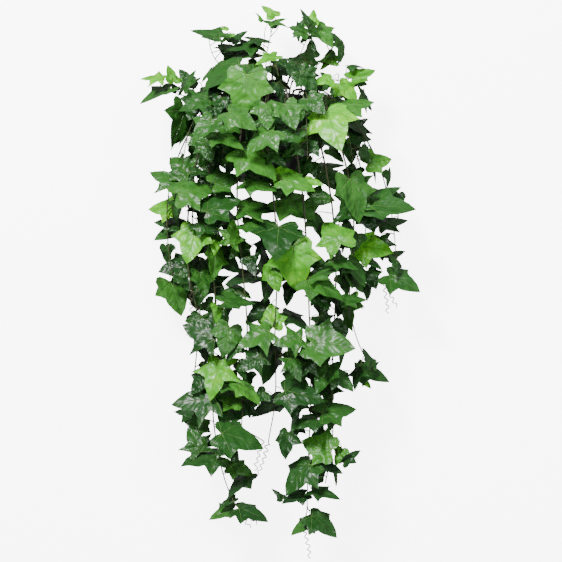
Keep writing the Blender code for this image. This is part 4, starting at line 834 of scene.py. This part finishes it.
# --- Ivy: leaves, stalks, stems and tendrils ------------------------------------------------------------
# Leaves are leathery and waxed: five lobes when grown, three when young, pale veins that fan out from the
# stalk, each blade cupped between them. Stalks and stems are round, tendrils wiry. One Geometry Nodes tree
# sets the leaves on their points and sweeps the stems, for each vine in turn.
# The outlines give half a leaf one unit long, from its stalk to its tip.
OUTLINE_FIVE = ((0.10, -0.12), (0.24, -0.20), (0.37, -0.18), (0.45, -0.05), (0.42, 0.08), (0.50, 0.17),
                (0.63, 0.33), (0.46, 0.39), (0.34, 0.46), (0.30, 0.60), (0.17, 0.82))
OUTLINE_STAR = ((0.12, -0.08), (0.30, -0.14), (0.46, -0.14), (0.37, 0.00), (0.31, 0.11), (0.44, 0.24),
                (0.66, 0.42), (0.42, 0.42), (0.26, 0.48), (0.24, 0.62), (0.12, 0.84))
OUTLINE_THREE = ((0.12, -0.10), (0.30, -0.10), (0.43, -0.01), (0.49, 0.13), (0.36, 0.25), (0.27, 0.39),
                 (0.26, 0.55), (0.14, 0.80))
# How young each of the front leaves is, from 0, old and dark, to 9, new and yellow-green.
FRONT_TONES = (
    "863338721864348233523662357213985194534332344365433144228237228544548773168122437231251233336344"
    "432332311233313333336114353314481114423533232614444411231733212754121521311322224511411123835510"
    "210041"
)
LEAF_HUB = Vector((0.0, 0.20, 0.0))  # the middle of the rings that a leaf's mesh is made of
VEIN_WAYS = ((0.58, 0.37), (0.42, -0.15))  # where the main veins beside the midrib head for, from the stalk
VEIN_WIDTHS = (0.016, 0.005)  # half widths of a main vein, at the stalk and a leaf length from it
SIDE_VEINS = 6.0  # how many in a leaf length
SIDE_VEIN_SLANT = 7.0
SIDE_VEIN_WANDER = 1.6
PUCKERS = 6.0  # how many cells of relief across the UV map
BLADE_RELIEF = 0.013  # metres
UV_SPAN = 1.4  # the side of a leaf's UV map, in leaf lengths
UV_BASE = 0.25  # how far the map reaches below the stalk's end
TUBE_SIDES = 8
TONE_SEED = 77


def leaf_lift(x, y, keys, curl):
    """How far a point of the blade stands off its plane: each lobe's curl, and a cup between the veins."""
    right_lift, left_lift, tip_lift = CURLS[curl]
    lifts = (left_lift if x < 0 else right_lift)[4 - len(keys):]
    turn = math.atan2(y - LEAF_HUB.y, abs(x))
    stops = [(-math.pi / 2, 0.0)]
    stops += [(math.atan2(ky - LEAF_HUB.y, kx), lift) for (kx, ky), lift in zip(keys, lifts)]
    stops.append((math.pi / 2, tip_lift))
    lift = float(np.interp(turn, [s[0] for s in stops], [s[1] for s in stops]))
    reach = min(1.0, math.hypot(x, y - LEAF_HUB.y) / (0.8 if abs(x) < 0.2 and y > 0.5 else 0.55))
    return 0.03 * (1 - reach) + lift * reach**1.7


def leaf_shape(name, half, keys, curl, finish):
    """One leaf, a unit long, as a mesh of two rings round its hub, with a UV map of its own plane."""
    edge = [(0.0, -0.01)] + list(half) + [(0.0, 1.0)] + [(-x, y) for x, y in half[::-1]]
    rng = random.Random(31 * curl + len(half))
    bm = bmesh.new()
    uv = bm.loops.layers.uv.new("leaf")
    hub = bm.verts.new((0, LEAF_HUB.y, leaf_lift(0, LEAF_HUB.y, keys, curl)))
    rings = []
    for share, pucker in ((0.52, 0.018), (1.0, 0.0)):
        ring = []
        for i, (x, y) in enumerate(edge):
            px, py = x * share, LEAF_HUB.y + (y - LEAF_HUB.y) * share
            if y < 0 and abs(x) < 0.02:
                px, py = 0, LEAF_HUB.y * (1 - share) - 0.01
            wave = pucker * math.cos(i * 2.1) + rng.uniform(-0.012, 0.012) * share
            ring.append(bm.verts.new((px, py, leaf_lift(px, py, keys, curl) + wave)))
        rings.append(ring)
    count = len(edge)
    for i in range(count):
        j = (i + 1) % count
        bm.faces.new((hub, rings[0][i], rings[0][j]))
        bm.faces.new((rings[0][i], rings[1][i], rings[1][j], rings[0][j]))
    for face in bm.faces:
        face.smooth = True
        for loop in face.loops:
            loop[uv].uv = (loop.vert.co.x / UV_SPAN + 0.5, (loop.vert.co.y + UV_BASE) / UV_SPAN)
    mesh = bpy.data.meshes.new(name)
    bm.to_mesh(mesh)
    bm.free()
    mesh.materials.append(finish)
    return bpy.data.objects.new(name, mesh)


def work_out(tree, formula):
    """Adds the nodes that work out a formula: a socket, a number, or a tuple of an operation and its parts.
    FADE takes a value, where it starts and ends, and the results there, and runs smoothly between them."""
    if not isinstance(formula, tuple):
        return formula
    parts = [work_out(tree, part) for part in formula[1:]]
    if formula[0] == "FADE":
        node = add_node(tree, "ShaderNodeMapRange", {"interpolation_type": "SMOOTHSTEP"},
                        dict(zip(("Value", "From Min", "From Max", "To Min", "To Max"), parts)))
    else:
        node = add_node(tree, "ShaderNodeMath", {"operation": formula[0]}, dict(enumerate(parts)))
    return node.outputs[0]


def waxed_leaf():
    """An ivy leaf: deep green under a wax that gives white highlights, with pale veins sunk into the blade.
    The attribute tone runs from an old dark leaf, 0, to a young yellow-green one, 1."""
    finish, tree, shader = new_finish("waxed_leaf")
    uv = add_node(tree, "ShaderNodeUVMap", {"uv_map": "leaf"})
    plane = add_node(tree, "ShaderNodeSeparateXYZ", links={"Vector": uv.outputs["UV"]})
    x = work_out(tree, ("MULTIPLY", ("ABSOLUTE", ("SUBTRACT", plane.outputs["X"], 0.5)), UV_SPAN))
    y = work_out(tree, ("SUBTRACT", ("MULTIPLY", plane.outputs["Y"], UV_SPAN), UV_BASE))
    from_stalk = work_out(tree, ("SQRT", ("ADD", ("MULTIPLY", x, x), ("MULTIPLY", y, y))))
    tone = add_node(tree, "ShaderNodeAttribute", {"attribute_name": "tone"}).outputs["Fac"]
    lot = add_node(tree, "ShaderNodeAttribute", {"attribute_name": "lot"}).outputs["Fac"]
    shifted = add_node(tree, "ShaderNodeCombineXYZ", links={
        "X": plane.outputs["X"], "Y": plane.outputs["Y"], "Z": lot}).outputs["Vector"]
    mottle = add_node(tree, "ShaderNodeTexNoise", {"Scale": 5.0, "Detail": 6.0, "Roughness": 0.65},
                      {"Vector": shifted}).outputs["Fac"]

    # Veins: main ones run straight from the stalk, and side veins slant away from the nearest of them.
    nearest = x
    for vein_x, vein_y in VEIN_WAYS:
        length = math.hypot(vein_x, vein_y)
        off = ("SUBTRACT", ("MULTIPLY", x, vein_y / length), ("MULTIPLY", y, vein_x / length))
        nearest = work_out(tree, ("MINIMUM", nearest, ("ABSOLUTE", off)))
    width = work_out(tree, ("FADE", from_stalk, 0.0, 1.0, *VEIN_WIDTHS))
    main_vein = work_out(tree, ("FADE", nearest, ("MULTIPLY", width, 0.3), width, 1.0, 0.0))
    along = ("MULTIPLY_ADD", from_stalk, SIDE_VEINS, ("MULTIPLY", mottle, SIDE_VEIN_WANDER))
    slanted = ("SUBTRACT", along, ("MULTIPLY", nearest, SIDE_VEIN_SLANT))
    branch = work_out(tree, ("ABSOLUTE", ("SUBTRACT", ("FRACT", slanted), 0.5)))
    side_vein = ("MULTIPLY", ("FADE", branch, 0.03, 0.10, 1.0, 0.0),
                 ("FADE", nearest, 0.02, 0.16, 1.0, 0.0))
    quilt = ("MULTIPLY", ("FADE", branch, 0.0, 0.5, 0.0, 1.0), ("FADE", nearest, 0.0, 0.10, 0.0, 1.0))

    # Colour: darker patches on old leaves, yellower ones on young leaves, then veins and the paler back.
    body = add_node(tree, "ShaderNodeValToRGB", {
        "stops": [(0.0, "#102E12"), (0.30, "#204A19"), (0.50, "#356A24"), (0.70, "#46931F"),
                  (1.0, "#4FA018")]}, {"Fac": tone}).outputs["Color"]
    patch = ("MULTIPLY", ("FADE", mottle, 0.45, 0.66, 0.0, 0.5), ("FADE", tone, 0.4, 0.8, 1.0, 0.15))
    young = ("MULTIPLY", ("FADE", mottle, 0.52, 0.38, 0.0, 0.36), ("FADE", tone, 0.5, 0.85, 0.0, 1.0))
    behind = add_node(tree, "ShaderNodeNewGeometry").outputs["Backfacing"]
    for share, colour in ((patch, "#0A360C"), (young, "#88C430"), (("MULTIPLY", side_vein, 0.03), "#6FA048"),
                          (("MULTIPLY", main_vein, 0.20), "#8DB860"),
                          (("MULTIPLY", behind, 0.55), "#4F7F3C")):
        body = add_node(tree, "ShaderNodeMix", {"data_type": "RGBA"},
                        {0: work_out(tree, share), 6: body, 7: colour}).outputs[2]
    tree.links.new(body, shader.inputs["Base Color"])

    rough = ("ADD", ("FADE", mottle, 0.3, 0.7, 0.30, 0.40), ("MULTIPLY", behind, 0.3))
    tree.links.new(work_out(tree, rough), shader.inputs["Roughness"])
    shader.inputs["IOR"].default_value = 1.38
    dips = add_node(tree, "ShaderNodeTexNoise", {"Scale": 3.4, "Detail": 1.0}, {"Vector": shifted})
    pucker = add_node(tree, "ShaderNodeTexVoronoi",
                      {"feature": "SMOOTH_F1", "Scale": PUCKERS, "Smoothness": 0.9}, {"Vector": shifted})
    swell = ("MULTIPLY_ADD", dips.outputs["Fac"], 0.8, ("MULTIPLY", quilt, 0.035))
    puckered = ("SUBTRACT", swell, ("MULTIPLY", pucker.outputs["Distance"], 0.25))
    height = work_out(tree, ("SUBTRACT", puckered, ("MULTIPLY", main_vein, 0.12)))
    bump = add_node(tree, "ShaderNodeBump", {"Strength": 1.0, "Distance": BLADE_RELIEF}, {"Height": height})
    tree.links.new(bump.outputs["Normal"], shader.inputs["Normal"])
    return finish


def green_bark():
    """Stems and stalks: green skin turning brown and woody with age, ridged along its length."""
    finish, tree, shader = new_finish("green_bark")
    place = add_node(tree, "ShaderNodeTexCoord").outputs["Object"]
    age = add_node(tree, "ShaderNodeAttribute", {"attribute_name": "age"}).outputs["Fac"]
    streak = add_node(tree, "ShaderNodeTexNoise", {"Scale": 90.0, "Detail": 4.0}, {"Vector": place})
    skin, wood = [add_node(tree, "ShaderNodeValToRGB", {"stops": stops}, {"Fac": streak.outputs["Fac"]})
                  for stops in ([(0.30, "#26380F"), (0.55, "#374619"), (0.75, "#4C4A26")],
                                [(0.30, "#1D170E"), (0.55, "#30271A"), (0.75, "#473A24")])]
    bark = add_node(tree, "ShaderNodeMix", {"data_type": "RGBA"},
                    {0: age, 6: skin.outputs["Color"], 7: wood.outputs["Color"]})
    tree.links.new(bark.outputs[2], shader.inputs["Base Color"])
    shader.inputs["Roughness"].default_value = 0.55
    ridges = add_node(tree, "ShaderNodeTexNoise", {"Scale": 700.0, "Detail": 2.0}, {"Vector": place})
    bump = add_node(tree, "ShaderNodeBump", {"Strength": 0.4, "Distance": 0.0004},
                    {"Height": ridges.outputs["Fac"]})
    tree.links.new(bump.outputs["Normal"], shader.inputs["Normal"])
    return finish


def vine_tree(leaf_shapes, bark):
    """Leaves set on the vine's loose points, and a round tube swept along its edges."""
    tree = bpy.data.node_groups.new("ivy_vine", "GeometryNodeTree")
    tree.interface.new_socket("Vine", in_out="INPUT", socket_type="NodeSocketGeometry")
    for label, kind in (("Leaf shapes", "Collection"), ("Tube sides", "Int"), ("Bark", "Material")):
        tree.interface.new_socket(label, in_out="INPUT", socket_type="NodeSocket" + kind)
    tree.interface.new_socket("Grown", in_out="OUTPUT", socket_type="NodeSocketGeometry")
    inputs = add_node(tree, "NodeGroupInput")

    def named(name, kind):
        node = add_node(tree, "GeometryNodeInputNamedAttribute", {"data_type": kind})
        node.inputs["Name"].default_value = name
        return node.outputs["Attribute"]

    split = add_node(tree, "GeometryNodeSeparateGeometry", {"domain": "POINT"},
                     {"Geometry": inputs.outputs["Vine"], "Selection": named("is_leaf", "BOOLEAN")})
    shapes = add_node(tree, "GeometryNodeCollectionInfo", {"Separate Children": True, "Reset Children": True},
                      {"Collection": inputs.outputs["Leaf shapes"]})
    laid = add_node(tree, "GeometryNodeInstanceOnPoints", {"Pick Instance": True}, {
        "Points": split.outputs["Selection"], "Instance": shapes.outputs["Instances"],
        "Instance Index": named("shape", "INT"), "Rotation": named("turn", "FLOAT_VECTOR"),
        "Scale": named("size", "FLOAT")})
    real = add_node(tree, "GeometryNodeRealizeInstances", links={"Geometry": laid.outputs["Instances"]})

    line = add_node(tree, "GeometryNodeMeshToCurve", links={"Mesh": split.outputs["Inverted"]})
    circle = add_node(tree, "GeometryNodeCurvePrimitiveCircle", {"Radius": 1.0},
                      {"Resolution": inputs.outputs["Tube sides"]})
    swept = add_node(tree, "GeometryNodeCurveToMesh", {"Fill Caps": True}, {
        "Curve": line.outputs["Curve"], "Profile Curve": circle.outputs["Curve"]})
    if "Scale" in swept.inputs:
        tree.links.new(named("thick", "FLOAT"), swept.inputs["Scale"])
    else:
        radius = add_node(tree, "GeometryNodeSetCurveRadius", links={
            "Curve": line.outputs["Curve"], "Radius": named("thick", "FLOAT")})
        tree.links.new(radius.outputs["Curve"], swept.inputs["Curve"])
    smooth = add_node(tree, "GeometryNodeSetShadeSmooth", links={"Geometry": swept.outputs["Mesh"]})
    barked = add_node(tree, "GeometryNodeSetMaterial", links={
        "Geometry": smooth.outputs["Geometry"], "Material": inputs.outputs["Bark"]})
    both = add_node(tree, "GeometryNodeJoinGeometry")
    tree.links.new(barked.outputs["Geometry"], both.inputs["Geometry"])
    tree.links.new(real.outputs["Geometry"], both.inputs["Geometry"])
    add_node(tree, "NodeGroupOutput", links={"Grown": both.outputs["Geometry"]})
    return tree


def curve_through(points, per_run):
    """A smooth run of points through a few given ones."""
    ends = [2 * points[0] - points[1]] + list(points) + [2 * points[-1] - points[-2]]
    made = []
    for a, b, c, d in zip(ends, ends[1:], ends[2:], ends[3:]):
        for i in range(per_run):
            t = i / per_run
            made.append(0.5 * (2 * b + (c - a) * t + (2 * a - 5 * b + 4 * c - d) * t**2
                               + (3 * b - a - 3 * c + d) * t**3))
    made.append(points[-1])
    return made


def vine_plan(name, path, radius, shoots, tones):
    """The vine as a mesh of edges, for its stems, and loose points, for its leaves, with their attributes."""
    points, edges, rows = [], [], []

    def line(run, thick, ages):
        for i, p in enumerate(run):
            if i:
                edges.append((len(points) - 1, len(points)))
            points.append(tuple(p))
            rows.append((thick[i], ages[i], False, 0, (0, 0, 0), 0.0, 0.0, 0.0))

    count = len(path)
    thick = [radius * (1 - (1 - STEM_TIP) * i / (count - 1)) for i in range(count)]
    line([Vector(p) for p in path], thick, [max(0.15, 1 - 1.4 * i / count) for i in range(count)])
    for shoot in shoots:
        if shoot.frame:
            stalk = curve_through(shoot.stalk, 5)
            wide = [STALK_RADIUS * (1.5 - 0.7 * i / (len(stalk) - 1)) for i in range(len(stalk))]
            age = tones.random() * 0.5
        else:
            stalk = curve_through(shoot.stalk, 4)
            wide = [TENDRIL_RADIUS * (1.45 - 0.35 * i / (len(stalk) - 1)) for i in range(len(stalk))]
            age = 0.85
        line(stalk, wide, [age] * len(stalk))
    for shoot in shoots:
        if shoot.frame:
            turn = tuple(shoot.frame.to_euler())
            age = int(FRONT_TONES[shoot.mark]) if shoot.mark >= 0 else tones.choice((0, 1, 1, 2, 2, 3))
            tone = (age + tones.uniform(0.1, 0.9)) / 10
            points.append(tuple(shoot.frame.translation))
            shape = shoot.curl + (0 if shoot.size > SMALL_LEAF else len(CURLS))
            rows.append((0.0, 0.0, True, shape, turn, shoot.size, tone, tones.random() * 40))
    mesh = bpy.data.meshes.new(name)
    mesh.from_pydata(points, edges, [])
    for i, (label, kind) in enumerate((("thick", "FLOAT"), ("age", "FLOAT"), ("is_leaf", "BOOLEAN"),
                                       ("shape", "INT"), ("turn", "FLOAT_VECTOR"), ("size", "FLOAT"),
                                       ("tone", "FLOAT"), ("lot", "FLOAT"))):
        layer = mesh.attributes.new(label, kind, "POINT")
        for value, row in zip(layer.data, rows):
            if kind == "FLOAT_VECTOR":
                value.vector = row[i]
            else:
                value.value = row[i]
    return mesh


leaf_finish, bark = waxed_leaf(), green_bark()
leaf_shapes = bpy.data.collections.new("leaf_shapes")
for kind, size in (("grown", LONGEST_LEAF), ("small", SMALL_LEAF)):
    for curl in range(len(CURLS)):
        keys = lobes_of(size, curl)
        half = {FIVE_LOBES: OUTLINE_FIVE, STAR_LOBES: OUTLINE_STAR, THREE_LOBES: OUTLINE_THREE}[keys]
        leaf_shapes.objects.link(leaf_shape(f"leaf_{kind}_{curl}", half, keys, curl, leaf_finish))
vine_nodes = vine_tree(leaf_shapes, bark)
tones = random.Random(TONE_SEED)
for vine_name, (vine_path, vine_radius, vine_shoots) in grow().items():
    plan = vine_plan(vine_name, vine_path, vine_radius, vine_shoots, tones)
    vine = made_by_nodes(vine_name + "_vine", plan, vine_nodes,
                         {"Leaf shapes": leaf_shapes, "Tube sides": TUBE_SIDES, "Bark": bark})
    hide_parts(vine_name)
    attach(vine, "root")


# --- Floor, wall, light and camera ----------------------------------------------------------------------
# A plain pale floor and the white wall that the pot hangs on, lit by large soft lamps from the front. The
# wall is one-sided and a weaker lamp stands behind it, so that the back of the pot can be seen too.
SHEET_SIDE = 8.0
FLOOR_LEVEL = -1.25
FLOOR_GLOW = 0.8
WALL_PLACE = (0, 0.004, 1.0)
WALL_GLOW = 6.0
LAMPS = (("key", (-0.9, -1.9, 1.5), 0.6, 170), ("fill", (1.6, -2.4, 0.2), 1.2, 55),
         ("top", (0.3, -0.6, 1.9), 0.8, 6), ("rear", (-1.3, 2.0, 0.9), 1.2, 26))
LAMPS_AIM = Vector((0, -0.05, -0.25))
STUDIO_LIGHT = 0.34
FRAME_CENTRE = Vector((0.014, -0.08, -0.232))
FRAME_HEIGHT = 0.910
LENS = 110
SENSOR = 36
CAMERA_DISTANCE = FRAME_HEIGHT * LENS / SENSOR


def flat_stage(name, place, turn, finish):
    """A square sheet of the setting, which casts no light or shade of its own on the plant."""
    mesh = bpy.data.meshes.new(name)
    half = SHEET_SIDE / 2
    corners = [Vector((x * half, y * half, 0)) for x, y in ((-1, -1), (1, -1), (1, 1), (-1, 1))]
    mesh.from_pydata([turn @ c + Vector(place) for c in corners], [], [(0, 1, 2, 3)])
    mesh.materials.append(finish)
    sheet = bpy.data.objects.new(name, mesh)
    sheet.visible_glossy = False
    sheet.visible_diffuse = False
    sheet.visible_shadow = False
    bpy.context.scene.collection.objects.link(sheet)


def matt_paint(name, colour, glow, one_sided):
    """Matt paint, lit a little from within, as an even white backdrop is."""
    finish, tree, shader = new_finish(name)
    shader.inputs["Base Color"].default_value = linear(colour)
    shader.inputs["Roughness"].default_value = 0.9
    shader.inputs["Emission Color"].default_value = linear(colour)
    shader.inputs["Emission Strength"].default_value = glow
    if one_sided:
        side = add_node(tree, "ShaderNodeNewGeometry").outputs["Backfacing"]
        tree.links.new(work_out(tree, ("SUBTRACT", 1.0, side)), shader.inputs["Alpha"])
    return finish


flat_stage("floor", (0, 0, FLOOR_LEVEL), Matrix(), matt_paint("floor_paint", "#FFFFFF", FLOOR_GLOW, False))
flat_stage("wall", WALL_PLACE, Matrix.Rotation(math.pi / 2, 4, "X"),
           matt_paint("wall_paint", "#FFFFFF", WALL_GLOW, True))

for name, place, size, power in LAMPS:
    lamp = bpy.data.lights.new(name, "AREA")
    lamp.size = size
    lamp.energy = power
    lamp_object = bpy.data.objects.new(name, lamp)
    lamp_object.location = place
    lamp_object.visible_glossy = name != "rear"
    lamp_object.rotation_euler = (LAMPS_AIM - Vector(place)).to_track_quat("-Z", "Y").to_euler()
    bpy.context.scene.collection.objects.link(lamp_object)
world = bpy.data.worlds.new("studio")
world.use_nodes = True
world.node_tree.nodes["Background"].inputs["Color"].default_value = (1, 1, 1, 1)
world.node_tree.nodes["Background"].inputs["Strength"].default_value = STUDIO_LIGHT
bpy.context.scene.world = world

camera = bpy.data.cameras.new("camera")
camera.lens = LENS
camera_object = bpy.data.objects.new("camera", camera)
camera_object.location = FRAME_CENTRE + Vector((0, -CAMERA_DISTANCE, 0))
camera_object.rotation_euler = (math.pi / 2, 0, 0)
bpy.context.scene.collection.objects.link(camera_object)
bpy.context.scene.camera = camera_object
